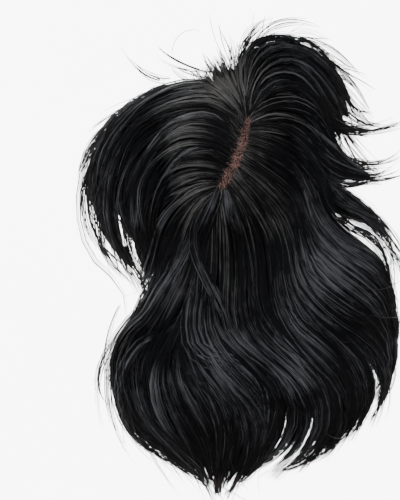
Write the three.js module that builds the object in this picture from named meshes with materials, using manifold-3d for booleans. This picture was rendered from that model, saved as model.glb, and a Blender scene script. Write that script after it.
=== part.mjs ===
// A clip-in hairpiece with long black wavy hair, lying on a table.
// A thin domed net cap carries a skin-coloured parting panel and three falls of hair:
// left, back and right. Each fall is a set of locks fused to the layer of roots on the cap.
// Millimetres, +Z up, the table at z = 0. The origin is under the middle of the whole piece.

import * as THREE from "three";
import { mergeVertices } from "three/addons/utils/BufferGeometryUtils.js";
import Module from "manifold-3d";

const wasm = await Module();
wasm.setup();

// Driving dimensions of the hair
const HAIR_LENGTH = 360; // the longest lock, along its waves
const LOCK_WIDTH = 31; // the widest lock, across
const HAIR_DEPTH = 20; // how deep the hair lies where it is fullest
const ROOT_DEPTH = 4; // how deep it is along the parting
const TIP_WIDTH = 1.4;
const TIP_DEPTH = 1.6;
const FRONT_LIFT = 16; // how high the front hair arches over the hair under it
const ROOT_LAYER = 3; // the layer of roots that covers the cap
const LOCK_STEP = 23; // distance between two sections of a lock
const LOCK_SIDES = 6;

// Driving dimensions of the cap, the parting and the clips
const HEAD_RADIUS = 95;
const CAP_WIDTH = 132;
const CAP_LENGTH = 148;
const CAP_WALL = 1.5;
const CAP_TURN = -12; // degrees that the cap's front is turned from +Y
const RIM_HEIGHT = 7;
const PARTING_LENGTH = 76;
const PARTING_WIDTH = 9;
const PARTING_HEADING = 247.5; // degrees, from the front end to the crown end
const PARTING_BOW = 6;
const PARTING_FRONT = { x: 0.144, y: 0.23 }; // the front end, in shares of the cap from its middle
const PANEL_WIDTH = 28;
const CLIP_LENGTH = 30;
const CLIP_WIDTH = 12;
const CLIP_THICKNESS = 1.6;
const CLIP_TEETH = 7;
const CLIP_SPINE = 4;
const CLEARANCE = 0.35;

const rad = THREE.MathUtils.degToRad;

// One row for each lock, in order round the parting from the front left to the front right.
// root: where the lock starts along the parting, as a share of its length from the front.
// headings: its direction at even steps from root to tip, in degrees from +X.
// length, width, depth and lift: shares of HAIR_LENGTH, LOCK_WIDTH, HAIR_DEPTH and FRONT_LIFT.
const LOCK_COLUMNS = ["root", "headings", "length", "width", "depth", "lift"];
const LOCKS = [
  [0.0, [110, 163, 193, 219, 243, 264, 288], 0.7, 0.5, 0.6, 0.1],
  [0.06, [118, 172, 198, 230, 254, 280, 304], 0.77, 0.7, 0.75, 0.1],
  [0.14, [124, 178, 205, 240, 264, 294, 312], 0.8, 0.75, 0.85, 0.1],
  [0.34, [139, 174, 212, 240, 272, 304, 288], 0.68, 0.8, 0.95, 0],
  [0.54, [149, 176, 214, 244, 272, 290, 280], 0.57, 0.8, 1.0, 0],
  [0.74, [164, 178, 214, 240, 262, 278, 280], 0.49, 0.75, 0.9, 0],
  [0.9, [180, 189, 208, 236, 254, 267, 276], 0.37, 0.6, 0.7, 0],
  [0.98, [207, 247, 251, 235, 270, 305, 328], 0.88, 0.7, 0.75, 0],
  [1.0, [214, 251, 246, 238, 276, 307, 322], 0.88, 0.7, 0.85, 0],
  [1.0, [223, 256, 244, 241, 280, 312, 318], 0.88, 0.75, 0.9, 0],
  [1.0, [241, 260, 247, 242, 280, 309, 302], 0.86, 0.75, 1.0, 0],
  [1.0, [245, 262, 250, 248, 287, 301, 286], 0.86, 0.75, 1.0, 0],
  [1.0, [248, 263, 253, 256, 296, 290, 274], 0.86, 0.75, 1.0, 0],
  [1.0, [250, 264, 253, 268, 304, 276, 264], 0.87, 0.75, 1.0, 0],
  [1.0, [252, 265, 253, 282, 309, 262, 252], 0.86, 0.75, 1.0, 0],
  [1.0, [255, 266, 255, 296, 311, 262, 234], 0.86, 0.75, 1.0, 0],
  [1.0, [260, 267, 260, 308, 312, 258, 216], 0.88, 0.75, 1.0, 0],
  [1.0, [268, 269, 266, 316, 305, 247, 207], 0.89, 0.75, 1.0, 0],
  [1.0, [280, 270, 273, 324, 297, 237, 201], 0.91, 0.75, 1.0, 0],
  [0.96, [290, 276, 272, 320, 301, 240, 207], 0.92, 0.75, 1.0, 0],
  [0.91, [300, 282, 272, 315, 305, 244, 213], 0.92, 0.75, 1.0, 0],
  [0.85, [307, 292, 271, 308, 310, 258, 217], 0.9, 0.75, 1.0, 0],
  [0.78, [313, 301, 271, 301, 315, 271, 222], 0.88, 0.85, 1.0, 0],
  [0.7, [317, 306, 274, 307, 320, 277, 226], 0.87, 0.9, 1.0, 0],
  [0.62, [320, 311, 277, 313, 324, 282, 229], 0.86, 0.9, 0.95, 0],
  [0.55, [327, 317, 279, 316, 325, 281, 238], 0.83, 0.85, 0.9, 0],
  [0.47, [333, 322, 280, 319, 325, 280, 248], 0.79, 0.9, 0.85, 0],
  [0.4, [340, 327, 285, 313, 329, 290, 260], 0.72, 0.85, 0.8, 0],
  [0.33, [347, 331, 291, 307, 333, 300, 272], 0.65, 0.9, 0.75, 0],
  [0.2, [360, 344, 312, 301, 330, 322, 290], 0.53, 0.85, 0.75, 0],
  [0.1, [373, 358, 326, 314, 330, 350, 366], 0.46, 0.75, 0.8, 0.3],
  [0.04, [391, 375, 343, 313, 308, 332, 366], 0.45, 0.75, 0.8, 0.6],
  [0.0, [423, 400, 359, 319, 312, 350, 366], 0.47, 0.75, 0.8, 0.8],
  [0.0, [444, 428, 385, 335, 305, 300, 294], 0.52, 0.8, 0.9, 1.0],
  [0.0, [459, 450, 426, 401, 372, 348, 330], 0.39, 0.6, 0.7, 0.8],
].map(row);

// Where the falls of hair divide, as lines that start on the parting and run to the edge.
const DIVISION_COLUMNS = ["root", "headings", "length"];
const DIVISIONS = [
  [0.0, [95, 100, 100, 100, 100, 100, 100], 0.3],
  [1.0, [192, 199, 224, 260, 266, 256, 222], 0.4],
  [1.0, [264, 268, 263, 312, 308.5, 252.5, 211.5], 0.885],
].map(row);

function row(cells) {
  const columns = cells.length === LOCK_COLUMNS.length ? LOCK_COLUMNS : DIVISION_COLUMNS;
  return Object.fromEntries(columns.map((column, i) => [column, cells[i]]));
}

// A closed geometry as a solid for joining and cutting, and a solid as a geometry again.
function solid(geometry) {
  const bare = geometry.clone();
  bare.deleteAttribute("normal");
  bare.deleteAttribute("uv");
  const merged = mergeVertices(bare, 1e-4);
  return new wasm.Manifold(
    new wasm.Mesh({
      numProp: 3,
      vertProperties: merged.attributes.position.array,
      triVerts: new Uint32Array(merged.index.array),
    }),
  );
}

function geometryOf(made) {
  const mesh = made.getMesh();
  const geometry = new THREE.BufferGeometry();
  geometry.setAttribute("position", new THREE.BufferAttribute(mesh.vertProperties, 3));
  geometry.setIndex(new THREE.BufferAttribute(mesh.triVerts, 1));
  geometry.computeVertexNormals();
  return geometry;
}

// The value at a share of the way through a list, on a smooth curve through its entries.
function along(values, share) {
  const place = THREE.MathUtils.clamp(share, 0, 1) * (values.length - 1);
  const i = Math.min(Math.floor(place), values.length - 2);
  const t = place - i;
  const at = (k) => values[THREE.MathUtils.clamp(k, 0, values.length - 1)];
  const [a, b, c, d] = [at(i - 1), at(i), at(i + 1), at(i + 2)];
  return b + 0.5 * t * (c - a + t * (2 * a - 5 * b + 4 * c - d + t * (3 * (b - c) + d - a)));
}

// The dome of the cap: heights over the table, in the cap's own ellipse.
const MEAN_RADIUS = (CAP_WIDTH + CAP_LENGTH) / 4;
const RIM_ANGLE = Math.asin(MEAN_RADIUS / HEAD_RADIUS);
const HEAD_CENTRE = RIM_HEIGHT - HEAD_RADIUS * Math.cos(RIM_ANGLE);

// How far out a point lies on the cap: 0 in the middle, 1 on the rim.
function capShare(x, y) {
  const turned = new THREE.Vector2(x, y).rotateAround(new THREE.Vector2(), rad(-CAP_TURN));
  return Math.hypot(turned.x / (CAP_WIDTH / 2), turned.y / (CAP_LENGTH / 2));
}

// The height of what the hair lies on: the cap, then a slope from its rim to the table.
function bedHeight(x, y) {
  const SKIRT = 0.35;
  const out = capShare(x, y);
  if (out > 1) return RIM_HEIGHT * Math.max(0, 1 - (out - 1) / SKIRT);
  return HEAD_CENTRE + Math.sqrt(HEAD_RADIUS ** 2 - (out * MEAN_RADIUS) ** 2);
}

function onCap(geometry) {
  geometry.rotateX(Math.PI / 2);
  geometry.scale(CAP_WIDTH / 2 / MEAN_RADIUS, CAP_LENGTH / 2 / MEAN_RADIUS, 1);
  return geometry.rotateZ(rad(CAP_TURN));
}

function arc(radius, from, to, steps) {
  return Array.from({ length: steps + 1 }, (_, i) => {
    const angle = from + ((to - from) * i) / steps;
    return new THREE.Vector2(radius * Math.sin(angle), HEAD_CENTRE + radius * Math.cos(angle));
  });
}

const RINGS = 5;
const SEGMENTS = 30;
const FACET_SAG =
  HEAD_RADIUS * (1 - Math.cos(RIM_ANGLE / RINGS / 2)) + MEAN_RADIUS * (1 - Math.cos(Math.PI / SEGMENTS));

// Everything under the dome's surface grown by an offset, down past the table.
function underDome(offset) {
  const radius = HEAD_RADIUS + offset;
  const outer = arc(radius, 0, RIM_ANGLE + offset / radius, RINGS);
  const floor = -1;
  const profile = [...outer, new THREE.Vector2(outer.at(-1).x, floor), new THREE.Vector2(0, floor)];
  return solid(onCap(new THREE.LatheGeometry(profile.reverse(), SEGMENTS)));
}

function capShell() {
  const outer = arc(HEAD_RADIUS, 0, RIM_ANGLE, RINGS);
  const inner = arc(HEAD_RADIUS - CAP_WALL, RIM_ANGLE, 0, RINGS);
  return solid(onCap(new THREE.LatheGeometry([...outer, ...inner].reverse(), SEGMENTS)));
}

// The parting: a gently bowed line over the cap.
function partingPoint(share) {
  const heading = rad(PARTING_HEADING);
  const run = share * PARTING_LENGTH;
  const bow = PARTING_BOW * Math.sin(Math.PI * share);
  return new THREE.Vector2(
    PARTING_FRONT.x * CAP_WIDTH + run * Math.cos(heading) - bow * Math.sin(heading),
    PARTING_FRONT.y * CAP_LENGTH + run * Math.sin(heading) + bow * Math.cos(heading),
  );
}

// A band along the parting with round ends, as a tall prism that cuts or keeps what it crosses.
function partingBand(halfWidth) {
  const STEPS = 8;
  const points = [];
  for (const side of [0, 1]) {
    for (let i = 0; i <= STEPS; i++) {
      const share = side ? 1 - i / STEPS : i / STEPS;
      const across = rad(PARTING_HEADING - 90 + 180 * side);
      points.push(partingPoint(share).add(polar(halfWidth, across)));
    }
    for (let i = 1; i < STEPS; i++) {
      const round = rad(PARTING_HEADING - 90 + 180 * (side + i / STEPS));
      points.push(partingPoint(side ? 0 : 1).add(polar(halfWidth, round)));
    }
  }
  return prism(points);
}

function polar(length, angle) {
  return new THREE.Vector2(length * Math.cos(angle), length * Math.sin(angle));
}

function prism(points) {
  const TALL = 200;
  const shape = new THREE.Shape(points);
  const geometry = new THREE.ExtrudeGeometry(shape, { depth: TALL, bevelEnabled: false });
  return solid(geometry.translate(0, 0, -TALL / 4));
}

// The line that a lock or a division follows on the table, as points with their headings.
function pathOf({ root, headings, length }, steps) {
  const FINE = 8;
  const total = length * HAIR_LENGTH;
  const start = partingPoint(root).add(polar(PARTING_WIDTH / 2, rad(headings[0])));
  const path = [{ point: start, heading: rad(headings[0]), share: 0 }];
  const walker = start.clone();
  for (let i = 1; i <= steps * FINE; i++) {
    const heading = rad(along(headings, (i - 0.5) / (steps * FINE)));
    walker.add(polar(total / (steps * FINE), heading));
    if (i % FINE === 0) path.push({ point: walker.clone(), heading, share: i / (steps * FINE) });
  }
  return path;
}

// How wide and how deep a lock is along its length, as shares of its fullest section.
const FULLNESS = {
  width: [0.2, 0.7, 0.95, 1.0, 0.9, 0.65, 0],
  depth: [0, 0.55, 0.8, 1.0, 0.9, 0.6, 0],
  lift: [0, 0.7, 1.0, 0.7, 0.2, 0, 0],
};

// A lock: a capped cylinder whose rings follow the path, flat below and arched above.
function lock(row) {
  const steps = Math.max(6, Math.round((row.length * HAIR_LENGTH) / LOCK_STEP));
  const path = pathOf(row, steps);
  const geometry = new THREE.CylinderGeometry(1, 1, 1, LOCK_SIDES, steps);
  const position = geometry.attributes.position;
  const FLAT = 0.35;
  for (let i = 0; i < position.count; i++) {
    const share = position.getY(i) + 0.5;
    const { point, heading } = path[Math.round(share * steps)];
    const fullest = row.width * LOCK_WIDTH;
    const halfWidth = THREE.MathUtils.lerp(TIP_WIDTH, fullest, along(FULLNESS.width, share)) / 2;
    const least = THREE.MathUtils.lerp(ROOT_DEPTH, TIP_DEPTH, share);
    const lift = row.lift * FRONT_LIFT * along(FULLNESS.lift, share);
    const depth = THREE.MathUtils.lerp(least, row.depth * HAIR_DEPTH, along(FULLNESS.depth, share)) + lift;
    const across = -position.getX(i) * halfWidth;
    const up = Math.max(0, (position.getZ(i) + FLAT) / (1 + FLAT));
    const top = bedHeight(point.x, point.y) + depth;
    position.setXYZ(i, point.x - across * Math.sin(heading), point.y + across * Math.cos(heading), up * top);
  }
  return solid(geometry);
}

// A thin upright curtain along a division and straight on past the hair, which parts two falls.
function curtain(row) {
  const STEPS = 24;
  const path = pathOf(row, STEPS);
  const end = path.at(-1);
  path.unshift({ point: partingPoint(row.root), heading: path[0].heading });
  path.push({ point: end.point.clone().add(polar(2 * LOCK_WIDTH, end.heading)), heading: end.heading });
  const side = (sign) =>
    path.map(({ point, heading }) => point.clone().add(polar((sign * CLEARANCE) / 2, heading + Math.PI / 2)));
  return prism([...side(-1), ...side(1).reverse()]);
}

// The three falls of hair, from the left to the right: everything joined, then parted.
function hairFalls() {
  const roots = underDome(CLEARANCE + ROOT_LAYER);
  let hair = LOCKS.map(lock).reduce((all, one) => all.add(one), roots);
  const tall = new THREE.BoxGeometry(4 * HAIR_LENGTH, 4 * HAIR_LENGTH, HAIR_LENGTH);
  hair = hair.intersect(solid(tall.translate(0, 0, HAIR_LENGTH / 2)));
  hair = hair.subtract(underDome(CLEARANCE)).subtract(partingBand(PARTING_WIDTH / 2));
  hair = DIVISIONS.map(curtain).reduce((rest, one) => rest.subtract(one), hair);
  const bodies = hair.decompose().sort((a, b) => b.volume() - a.volume());
  const falls = bodies.slice(0, DIVISIONS.length);
  const middle = (made) => made.boundingBox().min[0] + made.boundingBox().max[0];
  return falls.sort((a, b) => middle(a) - middle(b));
}

// A comb clip: a spine with teeth, lying under the rim.
function clipGeometry() {
  const shape = new THREE.Shape();
  const pitch = CLIP_LENGTH / (2 * CLIP_TEETH - 1);
  shape.moveTo(0, 0);
  for (let i = 0; i < CLIP_TEETH; i++) {
    const x = 2 * i * pitch;
    shape.lineTo(x, CLIP_WIDTH);
    shape.lineTo(x + pitch, CLIP_WIDTH);
    if (i < CLIP_TEETH - 1) {
      shape.lineTo(x + pitch, CLIP_SPINE);
      shape.lineTo(x + 2 * pitch, CLIP_SPINE);
    }
  }
  shape.lineTo(CLIP_LENGTH, 0);
  shape.closePath();
  const geometry = new THREE.ExtrudeGeometry(shape, { depth: CLIP_THICKNESS, bevelEnabled: false });
  return geometry.translate(-CLIP_LENGTH / 2, 0, -CLIP_THICKNESS);
}

const cloth = (color, roughness) => new THREE.MeshStandardMaterial({ color, roughness, metalness: 0 });
const NET = cloth(0x2a211d, 0.9);
const SKIN_MESH = cloth(0x9a6450, 0.8);
const BLACK_HAIR = cloth(0x0d0d10, 0.45);
const CLIP_METAL = new THREE.MeshStandardMaterial({ color: 0x1a1a1c, roughness: 0.4, metalness: 0.6 });

function mesh(name, geometry, material) {
  const made = new THREE.Mesh(geometry, material);
  made.name = name;
  return made;
}

// A clip against the inside of the cap, with its teeth towards the middle.
function clip(name, direction) {
  const REACH = 0.93; // of the cap's radius, where the spine lies
  const made = mesh(name, clipGeometry(), CLIP_METAL);
  const heading = rad(CAP_TURN + direction);
  const radius = REACH / capShare(Math.cos(heading), Math.sin(heading));
  const spine = polar(radius, heading);
  const slope = Math.atan(Math.tan(Math.asin((REACH * MEAN_RADIUS) / HEAD_RADIUS)) * ((REACH * MEAN_RADIUS) / radius));
  const sagitta = ((CLIP_LENGTH / 2) ** 2 + CLIP_WIDTH ** 2) / (2 * HEAD_RADIUS);
  made.position.set(spine.x, spine.y, bedHeight(spine.x, spine.y));
  made.rotation.order = "ZYX";
  made.rotation.set(slope, 0, heading + Math.PI / 2);
  made.translateZ(-(CAP_WALL + sagitta + FACET_SAG + CLEARANCE));
  return made;
}

function hairpiece() {
  const group = new THREE.Group();
  const shell = capShell();
  const window = partingBand(PANEL_WIDTH / 2 + CLEARANCE);
  group.add(mesh("base_cap", geometryOf(shell.subtract(window)), NET));
  group.add(mesh("part_panel", geometryOf(shell.intersect(partingBand(PANEL_WIDTH / 2))), SKIN_MESH));
  const [left, back, right] = hairFalls();
  group.add(mesh("hair_left", geometryOf(left), BLACK_HAIR));
  group.add(mesh("hair_back", geometryOf(back), BLACK_HAIR));
  group.add(mesh("hair_right", geometryOf(right), BLACK_HAIR));
  group.add(clip("clip_front", 90), clip("clip_left", 180), clip("clip_back", 270), clip("clip_right", 0));
  const box = new THREE.Box3().setFromObject(group, true);
  const centre = box.getCenter(new THREE.Vector3());
  group.position.set(-centre.x, -centre.y, -box.min.z);
  return group;
}

const group = hairpiece();
export default group;
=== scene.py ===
# %% [markdown]
# A long black hairpiece, parted on one side, lies on a pale table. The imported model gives
# the cap, the parting panel, the clips and three plain falls of hair. This lesson keeps the
# hard pieces, gives them their finish, and grows real strands where the plain falls are.

import math

import bmesh
import bpy
import numpy as np
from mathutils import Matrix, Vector


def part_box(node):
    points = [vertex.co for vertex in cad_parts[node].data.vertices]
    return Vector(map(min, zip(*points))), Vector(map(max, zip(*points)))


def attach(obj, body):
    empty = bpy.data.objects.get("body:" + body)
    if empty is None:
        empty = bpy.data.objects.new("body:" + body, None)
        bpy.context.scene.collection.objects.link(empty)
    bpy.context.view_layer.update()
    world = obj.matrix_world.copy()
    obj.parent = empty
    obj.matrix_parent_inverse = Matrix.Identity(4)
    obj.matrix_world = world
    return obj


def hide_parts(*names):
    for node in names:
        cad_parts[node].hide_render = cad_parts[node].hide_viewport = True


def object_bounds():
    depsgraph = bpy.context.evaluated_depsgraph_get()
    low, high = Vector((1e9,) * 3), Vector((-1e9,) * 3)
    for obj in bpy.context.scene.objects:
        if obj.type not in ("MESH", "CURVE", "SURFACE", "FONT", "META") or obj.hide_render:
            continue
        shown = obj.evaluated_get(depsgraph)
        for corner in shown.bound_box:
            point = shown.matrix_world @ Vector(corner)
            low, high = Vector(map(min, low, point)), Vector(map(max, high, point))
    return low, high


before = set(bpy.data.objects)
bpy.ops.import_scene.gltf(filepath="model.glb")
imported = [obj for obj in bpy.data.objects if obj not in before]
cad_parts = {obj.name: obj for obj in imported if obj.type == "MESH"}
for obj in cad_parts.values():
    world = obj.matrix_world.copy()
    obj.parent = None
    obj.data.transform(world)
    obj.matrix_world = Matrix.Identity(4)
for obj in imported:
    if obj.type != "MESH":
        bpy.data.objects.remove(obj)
cad_box = [list(corner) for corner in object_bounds()]
print("nodes:", sorted(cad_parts))
print("CAD box:", cad_box)

# %% [markdown]
# The same few sizes that shape the model shape the strands. They are given again here in
# millimetres and turned into metres once, and the cap's box anchors them in the frame.

# %% Sizes of the hair and the cap
MM = 0.001
HAIR_LENGTH = 360 * MM
LOCK_WIDTH = 31 * MM
HAIR_DEPTH = 20 * MM
ROOT_DEPTH = 4 * MM
TIP_DEPTH = 1.6 * MM
TIP_WIDTH = 1.4 * MM
FRONT_LIFT = 16 * MM
HEAD_RADIUS = 95 * MM
CAP_WIDTH = 132 * MM
CAP_LENGTH = 148 * MM
CAP_TURN = math.radians(-12)
RIM_HEIGHT = 6.3 * MM
PARTING_LENGTH = 76 * MM
PARTING_WIDTH = 9 * MM
PARTING_HEADING = math.radians(247.5)
PARTING_BOW = 6 * MM
PARTING_FRONT = np.array([0.144 * CAP_WIDTH, 0.23 * CAP_LENGTH])
PANEL_WIDTH = 28 * MM

cap_low, cap_high = (np.array(corner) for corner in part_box("base_cap"))
CAP_CENTRE = (cap_low[:2] + cap_high[:2]) / 2
MEAN_RADIUS = (CAP_WIDTH + CAP_LENGTH) / 4
HEAD_CENTRE = cap_high[2] - HEAD_RADIUS
print("cap centre (mm):", CAP_CENTRE / MM, "top of the cap (mm):", cap_high[2] / MM)

# %% [markdown]
# Hair that has been combed lies along smooth paths that start on the parting. Each lock is
# one row: where it starts along the parting, its heading at seven even steps from root to
# tip, and how long, wide, deep and lifted it is. Headings are easy to read off a picture,
# and they keep every path smooth, which a list of points would not.

# %% The locks, in order round the parting
LOCKS = [
    (0.0, [110, 163, 193, 219, 243, 264, 288], 0.7, 0.5, 0.6, 0.1),
    (0.06, [118, 172, 198, 230, 254, 280, 304], 0.77, 0.7, 0.75, 0.1),
    (0.14, [124, 178, 205, 240, 264, 294, 312], 0.8, 0.75, 0.85, 0.1),
    (0.34, [139, 174, 212, 240, 272, 304, 288], 0.68, 0.8, 0.95, 0),
    (0.54, [149, 176, 214, 244, 272, 290, 280], 0.57, 0.8, 1.0, 0),
    (0.74, [164, 178, 214, 240, 262, 278, 280], 0.49, 0.75, 0.9, 0),
    (0.9, [180, 189, 208, 236, 254, 267, 276], 0.37, 0.6, 0.7, 0),
    (0.98, [207, 247, 251, 235, 270, 305, 328], 0.88, 0.7, 0.75, 0),
    (1.0, [214, 251, 246, 238, 276, 307, 322], 0.88, 0.7, 0.85, 0),
    (1.0, [223, 256, 244, 241, 280, 312, 318], 0.88, 0.75, 0.9, 0),
    (1.0, [241, 260, 247, 242, 280, 309, 302], 0.86, 0.75, 1.0, 0),
    (1.0, [245, 262, 250, 248, 287, 301, 286], 0.86, 0.75, 1.0, 0),
    (1.0, [248, 263, 253, 256, 296, 290, 274], 0.86, 0.75, 1.0, 0),
    (1.0, [250, 264, 253, 268, 304, 276, 264], 0.87, 0.75, 1.0, 0),
    (1.0, [252, 265, 253, 282, 309, 262, 252], 0.86, 0.75, 1.0, 0),
    (1.0, [255, 266, 255, 296, 311, 262, 234], 0.86, 0.75, 1.0, 0),
    (1.0, [260, 267, 260, 308, 312, 258, 216], 0.88, 0.75, 1.0, 0),
    (1.0, [268, 269, 266, 316, 305, 247, 207], 0.89, 0.75, 1.0, 0),
    (1.0, [280, 270, 273, 324, 297, 237, 201], 0.91, 0.75, 1.0, 0),
    (0.96, [290, 276, 272, 320, 301, 240, 207], 0.92, 0.75, 1.0, 0),
    (0.91, [300, 282, 272, 315, 305, 244, 213], 0.92, 0.75, 1.0, 0),
    (0.85, [307, 292, 271, 308, 310, 258, 217], 0.9, 0.75, 1.0, 0),
    (0.78, [313, 301, 271, 301, 315, 271, 222], 0.88, 0.85, 1.0, 0),
    (0.7, [317, 306, 274, 307, 320, 277, 226], 0.87, 0.9, 1.0, 0),
    (0.62, [320, 311, 277, 313, 324, 282, 229], 0.86, 0.9, 0.95, 0),
    (0.55, [327, 317, 279, 316, 325, 281, 238], 0.83, 0.85, 0.9, 0),
    (0.47, [333, 322, 280, 319, 325, 280, 248], 0.79, 0.9, 0.85, 0),
    (0.4, [340, 327, 285, 313, 329, 290, 260], 0.72, 0.85, 0.8, 0),
    (0.33, [347, 331, 291, 307, 333, 300, 272], 0.65, 0.9, 0.75, 0),
    (0.2, [360, 344, 312, 301, 330, 322, 290], 0.53, 0.85, 0.75, 0),
    (0.1, [373, 358, 326, 314, 330, 350, 366], 0.46, 0.75, 0.8, 0.3),
    (0.04, [391, 375, 343, 313, 308, 332, 366], 0.45, 0.75, 0.8, 0.6),
    (0.0, [423, 400, 359, 319, 312, 350, 366], 0.47, 0.75, 0.8, 0.8),
    (0.0, [444, 428, 385, 335, 305, 300, 294], 0.52, 0.8, 0.9, 1.0),
    (0.0, [459, 450, 426, 401, 372, 348, 330], 0.39, 0.6, 0.7, 0.8),
]
WIDTH_ALONG = [0.2, 0.7, 0.95, 1.0, 0.9, 0.65, 0]
DEPTH_ALONG = [0, 0.55, 0.8, 1.0, 0.9, 0.6, 0]
LIFT_ALONG = [0, 0.7, 1.0, 0.7, 0.2, 0, 0]
print(len(LOCKS), "locks")

# %% [markdown]
# The locks leave a little open where the falls part: at the hairline in front, where short
# hair stands up between the two sweeps, and at the nape side of the left fall. Guides with
# the same six entries close those places for the strands, which then blend from guide to
# guide all the way round the parting. The flick on the right and the arch in front are
# guides of their own here, because their strands run on where the model's locks stop.

# %% Guides between the falls
HAIRLINE = (0.0, [97, 100, 103, 106], 0.17, 0.4, 0.3, 0.1)
SWEEP_LEFT = (0.0, [108, 161, 195, 216, 243, 266, 308], 0.78, 0.5, 0.6, 0.1)
NAPE_LEFT = (0.96, [200, 222, 252, 262, 246, 240, 264], 0.6, 0.6, 0.6, 0)
SWEEP_RIGHT = (0.0, [455, 460, 426, 368, 338, 314, 294], 0.53, 0.6, 0.7, 0.9)
FRONT_ARCH = (0.0, [450, 444, 405, 352, 322, 307, 294], 0.54, 0.6, 0.7, 0.9)
FLICK = (0.0, [423, 400, 358, 317, 321, 351, 362], 0.425, 0.75, 0.8, 0.8)
RIGHT_FALLS = [*LOCKS[19:32], FLICK, LOCKS[33], FRONT_ARCH, SWEEP_RIGHT]
GUIDES = [HAIRLINE, SWEEP_LEFT, *LOCKS[:7], NAPE_LEFT, *LOCKS[7:19], *RIGHT_FALLS, HAIRLINE]
print(len(GUIDES), "guides")

# %% [markdown]
# A value between two entries of a list is read on a smooth curve through all of them. The
# bed is what the hair lies on: the dome of the cap, and a slope from its rim to the table.

# %% Smooth lists, the parting and the bed
def along(values, share):
    values = np.asarray(values, float)
    place = np.clip(share, 0, 1) * (len(values) - 1)
    i = np.minimum(np.asarray(place).astype(int), len(values) - 2)
    t = place - i
    a, b, c, d = (values[np.clip(i + k, 0, len(values) - 1)] for k in (-1, 0, 1, 2))
    return b + 0.5 * t * (c - a + t * (2 * a - 5 * b + 4 * c - d + t * (3 * (b - c) + d - a)))


def heading_way(angle):
    return np.stack([np.cos(angle), np.sin(angle)], -1)


def parting_point(share, aside=0.0):
    way = heading_way(PARTING_HEADING)
    across = np.array([-way[1], way[0]])
    bow = PARTING_BOW * np.sin(np.pi * share)
    return CAP_CENTRE + PARTING_FRONT + share * PARTING_LENGTH * way + (bow + aside) * across


def cap_share(points):
    local = points - CAP_CENTRE
    turned_x = local[..., 0] * np.cos(CAP_TURN) + local[..., 1] * np.sin(CAP_TURN)
    turned_y = local[..., 1] * np.cos(CAP_TURN) - local[..., 0] * np.sin(CAP_TURN)
    return np.hypot(turned_x / (CAP_WIDTH / 2), turned_y / (CAP_LENGTH / 2))


def bed_height(points):
    skirt = 0.35
    out = cap_share(points)
    dome = HEAD_CENTRE + np.sqrt(HEAD_RADIUS**2 - (np.minimum(out, 1) * MEAN_RADIUS) ** 2)
    slope = RIM_HEIGHT * np.clip(1 - (out - 1) / skirt, 0, 1)
    return np.where(out > 1, slope, dome)


# %% [markdown]
# Waved hair rises and dips as it runs. Each crest catches the light from above and each
# trough stays dark, and that is most of what makes black hair look waved. A crest here is
# one row: its middle from the cap's centre, the heading of the hair there, how far it
# reaches along and across the hair, and its height, which is below zero for a trough.

# %% Crests and troughs of the waves (millimetres and degrees)
WAVES = [
    (-48, 10, 180, 22, 58, 6),
    (17, 72, 90, 18, 32, 3),
    (-13, -53, 262, 18, 22, 5),
    (-6, 66, 110, 20, 28, 3),
    (19, -8, 330, 9, 26, 3),
    (-58, -128, 240, 20, 24, 5),
    (-8, -210, 308, 22, 42, 6),
    (94, -120, 322, 26, 36, 6),
    (72, -217, 315, 14, 30, 5),
    (30, -278, 270, 16, 18, 3),
    (-68, -235, 285, 26, 22, 3),
    (-98, -62, 270, 20, 16, 3),
    (-83, 0, 205, 22, 52, -4),
    (-8, 5, 178, 13, 34, -4),
    (42, -6, 325, 14, 44, -2.5),
    (62, -5, 320, 30, 60, -3),
    (17, -103, 275, 26, 42, -5),
    (22, -165, 290, 20, 14, -4),
    (67, -252, 290, 18, 40, -5),
    (132, -175, 300, 18, 34, -4),
    (-56, -90, 255, 22, 12, -4),
    (-78, -192, 250, 14, 34, -4),
    (-18, -285, 280, 20, 28, -4),
]
FULL_SHEEN_HEIGHT = 6 * MM


def relief(points):
    total = np.zeros(points.shape[:-1])
    for x, y, heading, reach, breadth, height in WAVES:
        offset = points - CAP_CENTRE - np.array([x, y]) * MM
        way = heading_way(math.radians(heading))
        run = offset @ way
        aside = offset @ np.array([-way[1], way[0]])
        total += height * MM * np.exp(-((run / (reach * MM)) ** 2) - (aside / (breadth * MM)) ** 2)
    return total


print(len(WAVES), "crests and troughs")

# %% The path of a guide over the table
PATH_STEPS = 48
SHARES = np.linspace(0, 1, PATH_STEPS + 1)


def read_path(path, places, steps=SHARES):
    return np.stack([np.interp(places, steps, path[:, k]) for k in (0, 1)], 1)


def path_from(start, headings, length):
    fine = 8
    count = PATH_STEPS * fine
    middles = (np.arange(count) + 0.5) / count
    steps = heading_way(np.radians(along(headings, middles))) * length / count
    return np.vstack([start, start + np.cumsum(steps, 0)])[::fine]


def guide_path(root, headings, length):
    first = heading_way(math.radians(headings[0]))
    return path_from(parting_point(root) + PARTING_WIDTH / 2 * first, headings, length * HAIR_LENGTH)


def depth_of(guide):
    _, _, _, _, depth, lift = guide
    least = ROOT_DEPTH + (TIP_DEPTH - ROOT_DEPTH) * SHARES
    body = least + (depth * HAIR_DEPTH - least) * along(DEPTH_ALONG, SHARES)
    return body + lift * FRONT_LIFT * along(LIFT_ALONG, SHARES)


# Guides cut a little longer or shorter than the model's locks, with the factor of their length
TRIMMED = {12: 1.03, 13: 1.04, 14: 1.02, 15: 0.985, 16: 0.97}
TRIMMED |= {18: 1.035, 19: 1.02, 33: 0.94, 34: 0.9, 36: 0.93}
PATHS = [guide_path(*guide[:2], guide[2] * TRIMMED.get(i, 1.0)) for i, guide in enumerate(GUIDES)]
DEPTHS = [depth_of(guide) for guide in GUIDES]
ends = np.array([path[-1] for path in PATHS])
print("guides end between (mm):", (ends.min(0) / MM).round(), (ends.max(0) / MM).round())
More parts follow.
